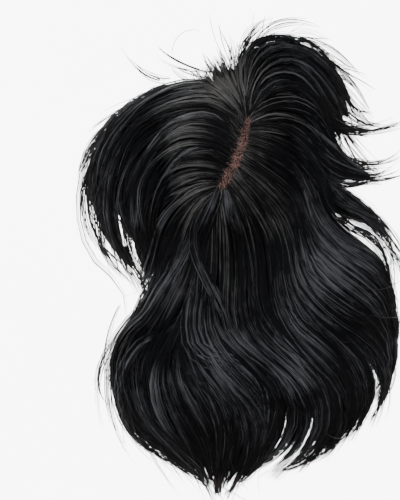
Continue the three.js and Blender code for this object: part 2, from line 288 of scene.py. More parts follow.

# %% [markdown]
# Strands grow in tresses. Between two neighbouring guides lie several, each a blend of the
# two paths with a little wander of its own, so the hair flows evenly and still falls in
# separate points at the ends. A tress is kept as five columns: its points, its half width
# and half thickness, how far along the hair each point is, and how much painted sheen it
# gets, which follows how high on a crest it lies.

# %% Blend the tresses between the guides
TRESS_WIDTH = 6 * MM
FEWEST_TRESSES, MOST_TRESSES = 2, 8
LEAST_WIDTH = 2.2 * MM
TRESS_WANDER = 2.4 * MM
BED_CLEAR = 0.4 * MM
LEAST_LAYER = 0.3 * MM
FULL_LAYER = 8 * MM  # the depth of hair that carries a whole crest
ROOT_CLIMB = 0.08  # the share of a tress over which it rises from its knots
SPREAD_ALONG = [0.5, 0.9, 1.0, 1.0, 1.1, 1.15, 1.1]
RISE_ALONG = [0.1, 0.7, 1.0, 1.0, 1.0, 0.8, 0.4]
FULL_RISE = 2.4 * MM
rng = np.random.default_rng(7)


def random_length(span):
    return rng.uniform(*span) * MM


# A crest's height also sets how much painted sheen the hair's colour gets there, and a trough's depth how
# much painted shade
def painted_sheen_of(wave):
    return np.clip(0.5 + 0.5 * wave / FULL_SHEEN_HEIGHT, 0, 1)


def sides_of(path):
    tangent = np.gradient(path, axis=0)
    tangent /= np.linalg.norm(tangent, axis=1)[:, None] + 1e-9
    return np.stack([-tangent[:, 1], tangent[:, 0]], 1)


# Where the hair parts into separate locks: first guide of the pair, and the share where it opens
OPENINGS = {4: 0.66, 8: 0.7, 20: 0.7, 22: 0.72, 26: 0.68, 31: 0.4, 32: 0.6, 34: 0.54}
OPENING_RUN = 0.3
OPENING_PULL = 0.85


def gap_between(i, j):
    aside = sides_of((PATHS[i] + PATHS[j]) / 2)
    return np.abs(((PATHS[j] - PATHS[i]) * aside).sum(1))


def tresses_in(i, j):
    gap = gap_between(i, j)
    return int(np.clip(math.ceil(gap.max() / TRESS_WIDTH), FEWEST_TRESSES, MOST_TRESSES)), gap


def blend_along(i, blend):
    if i not in OPENINGS:
        return np.full(len(SHARES), blend)
    opened = np.clip((SHARES - OPENINGS[i]) / OPENING_RUN, 0, 1)
    side = 0.0 if blend < 0.5 else 1.0
    return blend + (side - blend) * OPENING_PULL * opened * opened * (3 - 2 * opened)


def tress_between(i, j, blend, layer, first=0.0, last=1.0):
    count, gap = tresses_in(i, j)
    blends = blend_along(i, blend)
    path = (1 - blends)[:, None] * PATHS[i] + blends[:, None] * PATHS[j]
    depth = (1 - blends) * DEPTHS[i] + blends * DEPTHS[j]
    wander = TRESS_WANDER * np.sin(2 * np.pi * (SHARES * rng.uniform(0.8, 1.8) + rng.uniform()))
    wander *= np.sin(np.pi * np.minimum(SHARES * 1.5, 0.5))
    shares = np.linspace(first, last, PATH_STEPS + 1)
    path = read_path(path + sides_of(path) * wander[:, None], shares)
    depth = np.interp(shares, SHARES, depth)
    wave = relief(path)
    start = np.clip((shares - first) / ROOT_CLIMB, 0, 1)
    lying = depth * layer + wave * np.clip(depth / FULL_LAYER, 0, 1)
    height = bed_height(path) + BED_CLEAR + np.maximum(lying, LEAST_LAYER) * start
    packed = 1 - np.abs(blends - blend)
    spread = np.maximum(np.interp(shares, SHARES, gap * packed) / count, LEAST_WIDTH)
    spread *= along(SPREAD_ALONG, shares)
    rise = FULL_RISE * along(RISE_ALONG, shares)
    return np.column_stack([path, height]), spread, rise, shares, painted_sheen_of(wave)


# How high in the depth of the hair a tress lies, and how often
LAYERS = [0.95, 0.82, 0.66, 0.5]
LAYER_CHANCES = [0.4, 0.3, 0.2, 0.1]


def gap_tresses(i, j):
    count, _ = tresses_in(i, j)
    made = []
    for k in range(count):
        blend = (k + 0.5) / count + rng.uniform(-0.08, 0.08)
        layer = rng.choice(LAYERS, p=LAYER_CHANCES)
        made.append(tress_between(i, j, blend, layer, 0.0, rng.uniform(0.95, 1.0)))
    return made


# The falls of strands: first and last guide of each
FALLS = {
    "strands_left": (1, 9),
    "strands_back": (9, 19),
    "strands_right": (19, 27),
    "strands_side": (27, 34),
    "strands_front": (34, 39),
}
TRESSES = {
    name: [tress for i in range(first, last) for tress in gap_tresses(i, i + 1)]
    for name, (first, last) in FALLS.items()
}
TRESSES["strands_front"] += gap_tresses(0, 1)
print({name: len(made) for name, made in TRESSES.items()}, "tresses")

# %% [markdown]
# Hair on a topper isn't only tied along the parting: it is knotted in all over the base.
# Shorter stretches of the same paths, low on the cap and each starting at its own place,
# give those rows of roots and hide the net.

# %% Roots knotted in all over the base (millimetres and shares)
ROOT_TRESSES = 150
ROOT_START = 62
ROOT_LENGTHS = (45, 85)
ROOT_LAYERS = (0.35, 0.9)
ROOT_WIDTH = 3
ROOT_LEAST_SHARE = 0.15


def root_tress():
    i = int(rng.integers(0, len(GUIDES) - 1))
    reach = max(GUIDES[i][2], GUIDES[i + 1][2]) * HAIR_LENGTH
    first = rng.uniform(0.0, ROOT_START * MM / reach)
    last = min(first + random_length(ROOT_LENGTHS) / reach, 1.0)
    first = min(first, last - ROOT_LEAST_SHARE)
    blend, layer = rng.uniform(), rng.uniform(*ROOT_LAYERS)
    points, spread, rise, shares, painted_sheen = tress_between(i, i + 1, blend, layer, first, last)
    ends = np.sin(np.pi * np.clip(SHARES, 0.12, 0.9)) ** 0.5
    return points, np.maximum(spread, ROOT_WIDTH * MM) * ends, rise * 0.5 * ends, shares, painted_sheen


TRESSES["strands_roots"] = [root_tress() for _ in range(ROOT_TRESSES)]

# %% [markdown]
# In front the hair fans out from the end of the parting, nearly straight, over the start
# of both sweeps. Right on the parting single hairs stand out of the strip on both sides,
# each a few millimetres from its neighbours and lying over towards its own side.

# %% The fan in front and the roots on the strip (millimetres, degrees and shares)
FAN = 160
FAN_HEADING = 97
FAN_TURNS = [(-62, 62), (-20, 44)]
FAN_STARTS = (-0.08, 0.05)
FAN_OFFSETS = (2, 14)
FAN_LENGTHS = (30, 46)
FAN_LONGEST_TURN, FAN_LONGEST_SPAN = 22, 70
FAN_ADDED = (16, 28)
FAN_HEIGHTS = (7, 17)
FAN_WIDTH = 3.2
STRIP_ROOTS = 420
STRIP_REACH = 6.5
STRIP_LENGTHS = (12, 30)
STRIP_HEIGHTS = (3, 6)
STRIP_WIDTH = 0.5
ABOVE_ALL = 200
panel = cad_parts["part_panel"]


def height_on(node, spot, otherwise):
    hit, place, _, _ = node.ray_cast(Vector((*spot, ABOVE_ALL * MM)), Vector((0, 0, -1)))
    return place.z if hit else otherwise


def strip_height(spot):
    return height_on(panel, spot, float(bed_height(np.asarray(spot))))


def short_tress(start, headings, length, layer, width, share):
    path = path_from(start, headings, length)
    start_height = strip_height(start)
    climb = np.clip(SHARES / 0.6, 0, 1) ** 0.7
    height = start_height + (bed_height(path) + layer - start_height) * climb
    spread = width * MM * (0.4 + 0.6 * np.sin(np.pi * np.minimum(SHARES * 0.8, 1)))
    shares = np.full(len(SHARES), share)
    return np.column_stack([path, height]), spread, spread * 0.3, shares, painted_sheen_of(relief(path))


def fan_tress():
    turn = rng.choice([rng.uniform(*turns) for turns in FAN_TURNS])
    start = parting_point(rng.uniform(*FAN_STARTS))
    start = start + heading_way(math.radians(FAN_HEADING + turn)) * random_length(FAN_OFFSETS)
    bend = turn * 0.9 + rng.uniform(-12, 12)
    headings = [FAN_HEADING + turn, FAN_HEADING + turn * 0.92, FAN_HEADING + bend]
    middling = max(0.0, 1 - abs(turn - FAN_LONGEST_TURN) / FAN_LONGEST_SPAN)
    length = random_length(FAN_LENGTHS) + middling * random_length(FAN_ADDED)
    return short_tress(start, headings, length, random_length(FAN_HEIGHTS), FAN_WIDTH, 0.15)


LEFT_ROOTS = LOCKS[:7]
RIGHT_ROOTS = LOCKS[:16:-1]


def side_heading(share, rows):
    places = [row[0] for row in rows]
    return float(np.interp(share, places, [row[1][0] for row in rows]))


def strip_root():
    share = rng.uniform(0.0, 1.02)
    side = rng.choice([-1, 1])
    start = parting_point(share, side * rng.uniform(0, 1) ** 0.6 * STRIP_REACH * MM)
    heading = side_heading(share, LEFT_ROOTS if side < 0 else RIGHT_ROOTS) + rng.normal(0, 9)
    headings = [heading, heading + rng.normal(0, 6), heading + rng.normal(0, 12)]
    length = random_length(STRIP_LENGTHS)
    return short_tress(start, headings, length, random_length(STRIP_HEIGHTS), STRIP_WIDTH, 0.05)


TRESSES["strands_fan"] = [fan_tress() for _ in range(FAN)]
TRESSES["strip_roots"] = [strip_root() for _ in range(STRIP_ROOTS)]

# %% [markdown]
# Over the even falls lie a few locks that curl their own way, and they give the piece its
# waves: each hides the start of the next and throws a dark edge on it, partly a shadow the
# lamps cast and partly painted shade. A lock is one row: its width and rise, how much painted
# sheen its crests get at even steps, and the places it passes, from the cap's centre. It
# needs to know how high the hair below lies, so the tresses made so far are gathered on a
# coarse grid first, and their highest points are smoothed.

# %% The height of the hair so far
CELL = 4 * MM
GRID_MARGIN = 20 * MM
GRID_LOW = np.array(cad_box[0][:2]) - GRID_MARGIN
GRID_SIZE = ((np.array(cad_box[1][:2]) + GRID_MARGIN - GRID_LOW) / CELL).astype(int) + 1


def smoothed(grid, rounds):
    for _ in range(rounds):
        padded = np.pad(grid, 1, mode="edge")
        shifts = [padded[i:i + GRID_SIZE[0], j:j + GRID_SIZE[1]] for i in range(3) for j in range(3)]
        grid = np.mean(shifts, 0)
    return grid


def raise_cells(grid, points, values):
    spots = ((points[:, :2] - GRID_LOW) / CELL).round().astype(int)
    np.maximum.at(grid, (spots[:, 0], spots[:, 1]), values)


def hair_top():
    cells = np.stack(np.meshgrid(*(np.arange(n) for n in GRID_SIZE), indexing="ij"), -1)
    heights = bed_height(GRID_LOW + cells * CELL)
    for name in FALLS:
        for tress in TRESSES[name]:
            raise_cells(heights, tress[0], tress[0][:, 2])
    return smoothed(heights, 3)


HAIR_TOP = hair_top()


def read_grid(grid, points):
    place = np.clip((points - GRID_LOW) / CELL, 0, GRID_SIZE - 1.001)
    i, j = place.astype(int).T
    u, v = (place - place.astype(int)).T
    near = grid[i, j] * (1 - v) + grid[i, j + 1] * v
    far = grid[i + 1, j] * (1 - v) + grid[i + 1, j + 1] * v
    return near * (1 - u) + far * u


def top_height(points):
    return read_grid(HAIR_TOP, points)


print("hair so far reaches (mm):", round(HAIR_TOP.max() / MM, 1))

# %% Locks that curl over the falls (millimetres)
TOP_LOCKS = [
    (20, 5, [3, 6, 9, 9, 6, 3, 1, 1],
     [(-23, -50), (-38, -85), (-50, -110), (-65, -135),
      (-80, -160), (-100, -180), (-112, -205), (-115, -230)]),
    (18, 5, [4, 6, 5, 6, 7, 4, 3, 2, 2, 1],
     [(-32, -135), (-42, -160), (-63, -177), (-88, -190), (-104, -213),
      (-108, -240), (-100, -265), (-81, -287), (-56, -303), (-33, -319)]),
    (12, 4, [1, 2, 4, 6, 6, 4, 2, 1],
     [(-63, -195), (-78, -210), (-88, -230), (-86, -250),
      (-72, -270), (-50, -292), (-28, -313), (-16, -331)]),
    (18, 4, [1, 2, 5, 4, 2, 1],
     [(-56, -186), (-60, -215), (-56, -240), (-41, -265), (-25, -290), (-16, -326)]),
    (16, 5, [1, 2, 6, 8, 6, 3, 1],
     [(-46, -180), (-45, -200), (-33, -223), (-16, -245), (-6, -273), (-6, -300), (-12, -332)]),
    (22, 7, [4, 6, 5, 6, 9, 10, 9, 9, 7, 4, 2, 1],
     [(-23, -77), (-31, -107), (-33, -135), (-37, -163), (-35, -187), (-21, -203),
      (4, -209), (24, -223), (34, -250), (30, -283), (10, -313), (-10, -330)]),
    (15, 6, [2, 3, 4, 5, 7, 8, 6, 3, 1],
     [(-20, -52), (-29, -66), (-33, -84), (-28, -107), (-17, -130),
      (-6, -152), (1, -175), (4, -200), (12, -222)]),
    (15, 3, [8, 10, 8, 4, 2],
     [(-8, -33), (-14, -50), (-22, -68), (-30, -86), (-36, -106)]),
    (12, 3, [8, 10, 8, 4, 1],
     [(-2, -33), (0, -48), (3, -63), (9, -78), (18, -95)]),
    (14, 4, [1, 4, 6, 4, 2, 1, 1],
     [(12, -197), (34, -211), (47, -233), (49, -258), (40, -283), (22, -303), (0, -320)]),
    (20, 6, [1, 2, 4, 9, 10, 6, 3, 1, 1],
     [(62, -20), (68, -50), (72, -80), (78, -107), (92, -133),
      (114, -151), (140, -167), (154, -190), (152, -217)]),
    (18, 6, [2, 4, 8, 10, 8, 3, 1, 1, 1],
     [(48, -85), (53, -115), (58, -145), (70, -170), (90, -187),
      (110, -207), (124, -235), (122, -263), (108, -287)]),
    (18, 6, [2, 4, 7, 9, 8, 3, 1, 1, 1],
     [(34, -115), (38, -145), (45, -170), (62, -195), (84, -213),
      (100, -237), (102, -267), (86, -295), (60, -313)]),
    (14, 5, [1, 1, 2, 3, 3, 3, 2],
     [(90, 5), (94, -25), (102, -50), (120, -70), (144, -83), (158, -107), (162, -140)]),
    (18, 5, [4, 7, 10, 8, 3, 1, 1, 1],
     [(4, 20), (-18, 37), (-43, 35), (-68, 17), (-90, -15), (-103, -50), (-100, -85), (-90, -112)]),
    (16, 5, [4, 7, 9, 5, 1, 1, 1],
     [(-4, -5), (-23, 5), (-48, -5), (-68, -30), (-78, -60), (-78, -90), (-72, -114)]),
    (16, 5, [5, 7, 6, 2, 1, 1, 1],
     [(24, 43), (34, 63), (52, 75), (72, 71), (90, 57), (104, 35), (116, 8)]),
    (10, 4, [2, 6, 7, 5, 2],
     [(12, -110), (22, -135), (28, -160), (34, -185), (47, -205)]),
    (13, 2, [1, 2, 1, 1, 0],
     [(8, -275), (7, -291), (3, -307), (-1, -320), (-5, -333)]),
]
TOP_WIDTH_ALONG = [0.5, 0.85, 1.0, 1.0, 0.95, 0.8, 0.25]
TOP_RISE_ALONG = [-0.5, 0.5, 1.0, 1.0, 1.0, 0.6, -0.1]
TOP_TRESS = 5
TOP_CLEAR = 2.5 * MM
TOP_RISE = 1.6 * MM
TOP_FIRST_SHARE = 0.25
FULL_SHINE = 11
EDGE_SHADE = 0.35
UNDER_SHADE = 0.5


def top_tresses(width, rise, shine, places):
    x, y = (along([place[k] for place in places], SHARES) for k in (0, 1))
    middle = CAP_CENTRE + np.stack([x, y], 1) * MM
    count = max(2, math.ceil(width / TOP_TRESS))
    breadth = MM * along(TOP_WIDTH_ALONG, SHARES)
    made = []
    for k in range(count):
        across = (k + 0.5) / count * 2 - 1 + rng.uniform(-0.1, 0.1)
        path = middle + sides_of(middle) * (across * (width - TOP_TRESS) / 2 * breadth)[:, None]
        arch = 1 - 0.5 * across * across
        lift = (TOP_CLEAR + rise * MM * arch) * along(TOP_RISE_ALONG, SHARES)
        height = np.maximum(top_height(path) + lift, 0.6 * MM)
        spread = 0.62 * width / count * breadth
        # Painted sheen along the lock, with painted shade towards its edges
        painted_sheen = np.clip(along(shine, SHARES) / FULL_SHINE - EDGE_SHADE * across * across, 0, 1)
        shares = TOP_FIRST_SHARE + (1 - TOP_FIRST_SHARE) * SHARES
        own_rise = TOP_RISE * along(RISE_ALONG, SHARES)
        made.append((np.column_stack([path, height]), spread, own_rise, shares, painted_sheen))
    return made


TRESSES["top_locks"] = [tress for row in TOP_LOCKS for tress in top_tresses(*row)]

# The hair that a lock on top hides or borders gets painted shade: its painted sheen is lowered there
covered = np.zeros(GRID_SIZE)
for tress in TRESSES["top_locks"]:
    raise_cells(covered, tress[0], 1.0)
covered = smoothed(covered, 2)
for name in FALLS:
    for points, _, _, _, painted_sheen in TRESSES[name]:
        painted_sheen -= UNDER_SHADE * read_grid(covered, points[:, :2])
print(len(TRESSES["top_locks"]), "tresses in", len(TOP_LOCKS), "locks on top")

# %% [markdown]
# Loose wisps give the outline its air. Each row is one wisp: where it leaves the hair,
# from the cap's centre, its height there and at its end, its headings at even steps, its
# length, how many strands it has and how wide they stand apart.

# %% Wisps that leave the outline (millimetres and degrees)
WISPS = [
    (-124, 20, 10, 1, [225, 240, 258, 270, 282, 300, 318, 300, 268, 244, 255], 250, 8, 3.5),
    (-114, 34, 10, 1, [212, 232, 250, 262, 275, 288, 302], 150, 12, 4),
    (-118, 28, 8, 1, [228, 246, 262, 272, 284, 300], 130, 10, 4),
    (-130, -34, 8, 1, [264, 268, 278, 292, 306, 316], 100, 12, 4),
    (-128, -62, 6, 1, [272, 286, 300, 312, 320], 80, 12, 4),
    (-104, -90, 6, 1, [285, 292, 297, 285], 45, 12, 4),
    (-90, -76, 6, 1, [270, 282, 290, 280], 55, 10, 4),
    (-84, -145, 5, 1, [225, 232, 242, 262, 275, 290], 150, 10, 4),
    (-102, -168, 5, 1, [232, 250, 265, 276, 288, 302, 316], 160, 14, 4),
    (-114, -200, 5, 1, [262, 272, 284, 298, 310, 320], 120, 14, 4),
    (-112, -240, 5, 1, [285, 300, 312, 318, 322], 90, 14, 4),
    (-92, -276, 4, 1, [312, 318, 320, 326, 332], 80, 16, 4),
    (-62, -297, 4, 1, [318, 322, 326, 335], 50, 14, 4),
    (-36, -314, 4, 1, [312, 322, 334], 30, 12, 4),
    (-22, -303, 5, 1, [290, 286, 292, 300], 32, 22, 5),
    (-14, -306, 5, 1, [270, 268, 275], 26, 18, 5),
    (-6, -303, 5, 1, [255, 262, 280], 24, 16, 4),
    (4, -298, 4, 1, [250, 235, 225], 28, 14, 4),
    (34, -292, 4, 1, [225, 205, 190], 38, 14, 4),
    (82, -300, 4, 1, [222, 205, 190, 180], 48, 14, 4),
    (112, -280, 4, 1, [235, 222, 208, 195], 55, 14, 4),
    (134, -250, 4, 1, [255, 240, 225, 210], 55, 14, 4),
    (156, -222, 4, 1, [245, 232, 218, 205], 50, 14, 4),
    (166, -212, 4, 1, [262, 245, 225, 205], 55, 12, 4),
    (162, -196, 4, 1, [268, 255, 238, 222], 60, 12, 4),
    (156, -90, 6, 2, [318, 300, 282, 272], 60, 10, 4),
    (148, -62, 6, 2, [328, 310, 296, 284], 60, 10, 4),
    (112, 55, 12, 4, [302, 318, 338, 352, 358], 58, 14, 4.5),
    (100, 20, 9, 3, [290, 312, 335, 350, 365, 372], 72, 14, 4.5),
    (108, 8, 9, 3, [300, 322, 342, 352, 350], 66, 12, 4.5),
    (122, 46, 10, 4, [315, 330, 345, 352], 40, 8, 4),
    (104, -20, 8, 3, [312, 322, 325, 318, 308, 296], 95, 14, 4.5),
    (114, -62, 6, 2, [342, 335, 322, 305], 60, 12, 4),
    (92, 100, 22, 10, [338, 322, 310, 302, 296], 80, 12, 4),
    (70, 118, 24, 14, [352, 335, 320, 308], 80, 12, 4),
    (27, 110, 22, 18, [62, 38, 12, -10, -28], 80, 12, 4),
    (14, 98, 22, 20, [88, 70, 40, 15, -8], 75, 12, 4),
    (58, 118, 24, 26, [20, -10, -35], 50, 3, 5),
    (100, 88, 20, 16, [12, -12, -20], 42, 3, 5),
    (-9, 82, 28, 26, [172, 176, 165, 150, 135], 78, 3, 2.5),
    (-30, 78, 26, 22, [150, 160, 172], 30, 4, 4),
    (-63, 73, 22, 22, [165, 150, 132], 36, 4, 3),
    (4, 94, 28, 34, [112, 114, 108], 46, 3, 2),
    (6, 91, 28, 34, [100, 98, 104], 32, 4, 4),
    (-40, 76, 24, 22, [135, 150, 120], 22, 4, 4),
    (2, 93, 28, 44, [115, 105, 95, 88], 62, 2, 0.8),
    (-2, 93, 28, 42, [125, 112, 100, 100], 62, 2, 0.8),
    (-23, 83, 26, 30, [172, 160, 150, 135, 120], 65, 6, 1.2),
    (-28, 85, 26, 28, [165, 158, 150, 140, 130], 60, 3, 1.5),
    (-68, 75, 22, 22, [165, 150, 135, 130, 125], 55, 6, 1.4),
    (-58, 77, 22, 24, [178, 165, 150, 140], 40, 4, 1.5),
    (27, 119, 24, 36, [110, 90, 80, 80], 36, 2, 0.8),
    (34, 122, 24, 36, [85, 75, 68], 34, 2, 0.8),
    (40, 125, 24, 34, [75, 62, 50, 50], 36, 2, 0.8),
    (37, 126, 24, 30, [50, 20, 0, -15], 45, 2, 1),
    (-56, 103, 22, 26, [85, 60, 20, -15, -20], 55, 1, 0.5),
    (12, 105, 26, 32, [70, 50, 60], 25, 4, 1.5),
    (18, 111, 26, 30, [60, 40, 50], 25, 5, 1.5),
    (2, 91, 28, 34, [90, 88], 22, 4, 1.5),
    (6, 93, 28, 34, [75, 80], 20, 4, 1.5),
    (-2, 89, 28, 34, [120, 110], 22, 4, 1.5),
    (-13, 86, 26, 30, [130, 120], 18, 5, 1.5),
    (-20, 84, 26, 30, [100, 120], 20, 4, 1.5),
    (72, 119, 24, 18, [-20, -40, -55], 50, 5, 2),
    (87, 111, 22, 15, [-40, -55, -65], 50, 6, 2),
    (102, 87, 18, 10, [-50, -65, -50, -30], 50, 8, 2),
    (112, 67, 14, 8, [-55, -50, -20, 0], 45, 8, 2),
    (-134, -3, 12, 2, [245, 261, 270, 284, 298, 321, 308, 288], 146, 12, 2.5),
    (-136, -8, 12, 2, [238, 256, 272, 284, 300, 322, 300], 118, 9, 2.5),
    (-140, -20, 10, 2, [262, 266, 274, 286, 305], 80, 7, 3),
    (-130, -5, 12, 2, [255, 268, 275, 288, 304, 322, 312, 290], 130, 12, 3),
    (-128, 20, 14, 6, [222, 238, 252, 262, 268, 275], 92, 8, 3),
    (-124, 28, 14, 8, [225, 240, 250, 258], 60, 8, 3),
    (-112, 42, 16, 10, [222, 236, 246, 252], 55, 8, 3),
    (-122, -198, 12, 2, [246, 258, 272, 300, 320], 62, 8, 3),
    (-112, -190, 12, 2, [256, 266, 280, 300, 318], 78, 8, 3),
    (-108, -150, 14, 2, [240, 250, 258, 266, 276, 290], 90, 8, 3),
]

LOOSE_MARGIN = np.array([15, 20]) * MM  # how far loose hair may reach past the model
LOOSE_LOW = np.array(cad_box[0][:2]) - LOOSE_MARGIN
LOOSE_HIGH = np.array(cad_box[1][:2]) + LOOSE_MARGIN


def kept_inside(path):
    outside = ((path < LOOSE_LOW) | (path > LOOSE_HIGH)).any(1)
    if not outside.any():
        return path
    kept = max(int(np.argmax(outside)) - 1, 4) / PATH_STEPS
    return read_path(path, SHARES * kept)


def wisp(x, y, low, high, headings, length, strands, spread):
    path = kept_inside(path_from(CAP_CENTRE + np.array([x, y]) * MM, headings, length * MM))
    height = (low + (high - low) * SHARES**0.8) * MM
    width = spread * MM * (0.5 + 0.5 * np.sin(np.pi * np.minimum(SHARES * 1.3, 1)))
    # Loose hair gets an even, middling painted sheen
    painted_sheen = np.full(len(SHARES), 0.5)
    return np.column_stack([path, height]), width, width * 0.35, 0.4 + 0.6 * SHARES, painted_sheen, strands


# %% Short hairs along the hairline and strays all round (millimetres and degrees)
HAIRLINE_SPOTS = np.array([(-30, 76), (-8, 82), (4, 92), (12, 100), (24, 110)])
HAIRLINE_HEADING, HAIRLINE_TURN = 128, -16
HAIRLINE_HEIGHT = 24
BABY_HAIRS = 70
STRAYS = 150
STRAY_SHARES = (0.35, 0.95)
STRAY_LENGTHS = (25, 70)
LONE_SPREAD = 0.5


def baby_hair():
    place = rng.uniform(0, len(HAIRLINE_SPOTS) - 1.001)
    x, y = (along(HAIRLINE_SPOTS[:, k], place / (len(HAIRLINE_SPOTS) - 1)) for k in (0, 1))
    heading = HAIRLINE_HEADING + HAIRLINE_TURN * place + rng.uniform(-28, 28)
    headings = [heading, heading + rng.uniform(-25, 25)]
    x, y = x + rng.uniform(-3, 3), y + rng.uniform(-8, 0)
    end_height, length = rng.uniform(HAIRLINE_HEIGHT, 30), rng.uniform(8, 22)
    return wisp(x, y, HAIRLINE_HEIGHT, end_height, headings, length, 1, LONE_SPREAD)


def stray():
    i = int(rng.integers(1, len(GUIDES) - 2))
    share = rng.uniform(*STRAY_SHARES)
    spot, later = read_path(PATHS[i], [share, share + 0.03])
    heading = math.degrees(math.atan2(*(later - spot)[::-1])) + rng.normal(0, 16)
    turn = rng.normal(0, 28)
    headings = [heading, heading + turn, heading + 2 * turn]
    x, y = (spot - CAP_CENTRE) / MM
    top = (np.interp(share, SHARES, DEPTHS[i]) + bed_height(spot)) / MM
    return wisp(x, y, top + 1, max(top - 4, 2), headings, rng.uniform(*STRAY_LENGTHS), 1, LONE_SPREAD)


# %% [markdown]
# Cut hair never ends in a clean edge. Along every stretch of the outline thin feathers
# leave the hair's path a little at a time. A stretch is one row: the guide it follows, the
# side that faces out, where it starts and ends along the guide, how many feathers it has
# and how far they stray. Past its tip a guide is drawn on with the bend of its last part.
# The guides that meet in the point at the bottom keep a tidy end, so there feathers hardly
# pass the tip.

# %% Feathers along the outline (millimetres)
FEATHERS = [
    (1, -1, 0.1, 0.95, 40, 9),
    (2, -1, 0.35, 1.0, 30, 11),
    (3, -1, 0.45, 1.0, 24, 12),
    (4, -1, 0.55, 1.0, 20, 10),
    (5, 1, 0.6, 1.0, 16, 9),
    (7, 1, 0.6, 1.0, 14, 8),
    (9, -1, 0.3, 1.0, 30, 8),
    (10, -1, 0.35, 1.0, 40, 14),
    (11, -1, 0.6, 1.0, 8, 8),
    (13, -1, 0.82, 1.0, 12, 6),
    (15, -1, 0.85, 1.0, 12, 5),
    (16, 1, 0.85, 1.0, 20, 6),
    (17, 1, 0.85, 1.0, 20, 6),
    (18, 1, 0.82, 1.0, 16, 5),
    (20, 1, 0.72, 1.0, 6, 4),
    (21, -1, 0.72, 1.0, 8, 3),
    (22, 1, 0.74, 1.0, 6, 3),
    (23, 1, 0.8, 1.0, 8, 3),
    (24, 1, 0.8, 1.0, 14, 4),
    (25, 1, 0.76, 1.0, 16, 5),
    (26, 1, 0.7, 1.0, 18, 6),
    (27, 1, 0.72, 1.0, 14, 8),
    (28, 1, 0.6, 1.0, 12, 8),
    (30, 1, 0.5, 1.0, 10, 7),
    (31, 1, 0.45, 1.0, 10, 7),
    (32, 1, 0.5, 1.0, 16, 9),
    (32, -1, 0.5, 1.0, 14, 9),
    (33, 1, 0.55, 1.0, 14, 8),
    (34, -1, 0.6, 1.0, 18, 7),
    (35, 1, 0.45, 1.0, 26, 9),
    (36, 1, 0.5, 1.0, 26, 14),
    (38, 1, 0.05, 1.0, 64, 20),
]
BEYOND = 14
TIDY_TIPS, TIDY_BEYOND = range(14, 29), 1
FEATHER_LENGTHS = (32, 95)
FEATHER_STARTS = (-5.0, 0.0)
FEATHER_OUTWARD = 2 * MM
FEATHER_USUAL = 60 * MM
FEATHER_WIDTHS = (0.5, 1.2)
FEATHER_ENDS = (1, 5)
FEATHER_SHEEN = 0.4


def extended(path):
    last, before = path[-1] - path[-2], path[-4] - path[-5]
    way, way_before = (math.atan2(step[1], step[0]) for step in (last, before))
    bend = (way - way_before + math.pi) % (2 * math.pi) - math.pi
    ways = heading_way(way + bend / 3 * np.arange(1, BEYOND + 1)) * np.linalg.norm(last)
    return np.vstack([path, path[-1] + np.cumsum(ways, 0)])


LONG_PATHS = [extended(path) for path in PATHS]


def feather(guide, side, first, last, reach):
    path = LONG_PATHS[guide]
    step = np.linalg.norm(path[1] - path[0])
    start = rng.uniform(first, last) * PATH_STEPS
    end = PATH_STEPS + TIDY_BEYOND if guide in TIDY_TIPS else len(path) - 1.0
    run = min(random_length(FEATHER_LENGTHS) / step, end - start)
    place = start + run * SHARES
    outward = 1.2 * rng.uniform(0.0, 1.4) * reach * MM * run * step / FEATHER_USUAL
    aside = side * (random_length(FEATHER_STARTS) + (FEATHER_OUTWARD + outward) * SHARES**2)
    sides = sides_of(path)[np.minimum(place.astype(int), len(path) - 1)]
    spots = kept_inside(read_path(path, place, np.arange(len(path))) + sides * aside[:, None])
    top = top_height(spots[:1])[0]
    height = top + (random_length(FEATHER_ENDS) - top) * SHARES**0.8
    height = np.maximum(height, bed_height(spots) + 0.5 * MM)
    width = random_length(FEATHER_WIDTHS) * (1 + 0.6 * SHARES)
    # Feathers get an even painted sheen
    painted_sheen = np.full(len(SHARES), FEATHER_SHEEN)
    share = start / PATH_STEPS * (1 - SHARES) + SHARES
    return np.column_stack([spots, height]), width, width * 0.4, share, painted_sheen, int(rng.integers(1, 5))


LOOSE = [wisp(*row) for row in WISPS]
for guide, side, first, last, count, reach in FEATHERS:
    LOOSE += [feather(guide, side, first, last, reach) for _ in range(count)]
LOOSE += [baby_hair() for _ in range(BABY_HAIRS)] + [stray() for _ in range(STRAYS)]
print(len(LOOSE), "loose wisps and hairs")

# %% [markdown]
# A mesh of edges carries the tresses to Geometry Nodes, with the columns as attributes
# that the strands read later. A wisp's own count of strands is an attribute too.

# %% Carry the tresses on a mesh of edges
def link_up(name, data):
    made = bpy.data.objects.new(name, data)
    bpy.context.scene.collection.objects.link(made)
    return made


def mesh_of(name, points, edges, faces):
    mesh = bpy.data.meshes.new(name)
    mesh.from_pydata(np.asarray(points).tolist(), edges, faces)
    return mesh


def store(mesh, label, values):
    layer = mesh.attributes.new(label, "FLOAT", "POINT")
    layer.data.foreach_set("value", values.astype(np.float32))


def edge_mesh(name, tresses):
    points = np.vstack([tress[0] for tress in tresses])
    counts = [len(tress[0]) for tress in tresses]
    firsts = np.cumsum([0] + counts[:-1])
    edges = [(first + k, first + k + 1) for first, n in zip(firsts, counts) for k in range(n - 1)]
    mesh = mesh_of(name, points, edges, [])
    for label, column in (("spread", 1), ("rise", 2), ("share", 3), ("painted_sheen", 4)):
        store(mesh, label, np.concatenate([tress[column] for tress in tresses]))
    store(mesh, "amount", np.repeat([tress[5] if len(tress) > 5 else 1.0 for tress in tresses], counts))
    return link_up(name, mesh)


# %% [markdown]
# A node tree is wired by hand with a few small helpers. One adds a node, sets its options
# and fills each input with either a value or a link. The others stand for the nodes that
# come often. All of them serve Geometry Nodes and shaders alike.

# %% Helpers that add and wire nodes
def fill(tree, socket, value):
    if isinstance(value, bpy.types.NodeSocket):
        tree.links.new(value, socket)
    else:
        socket.default_value = value


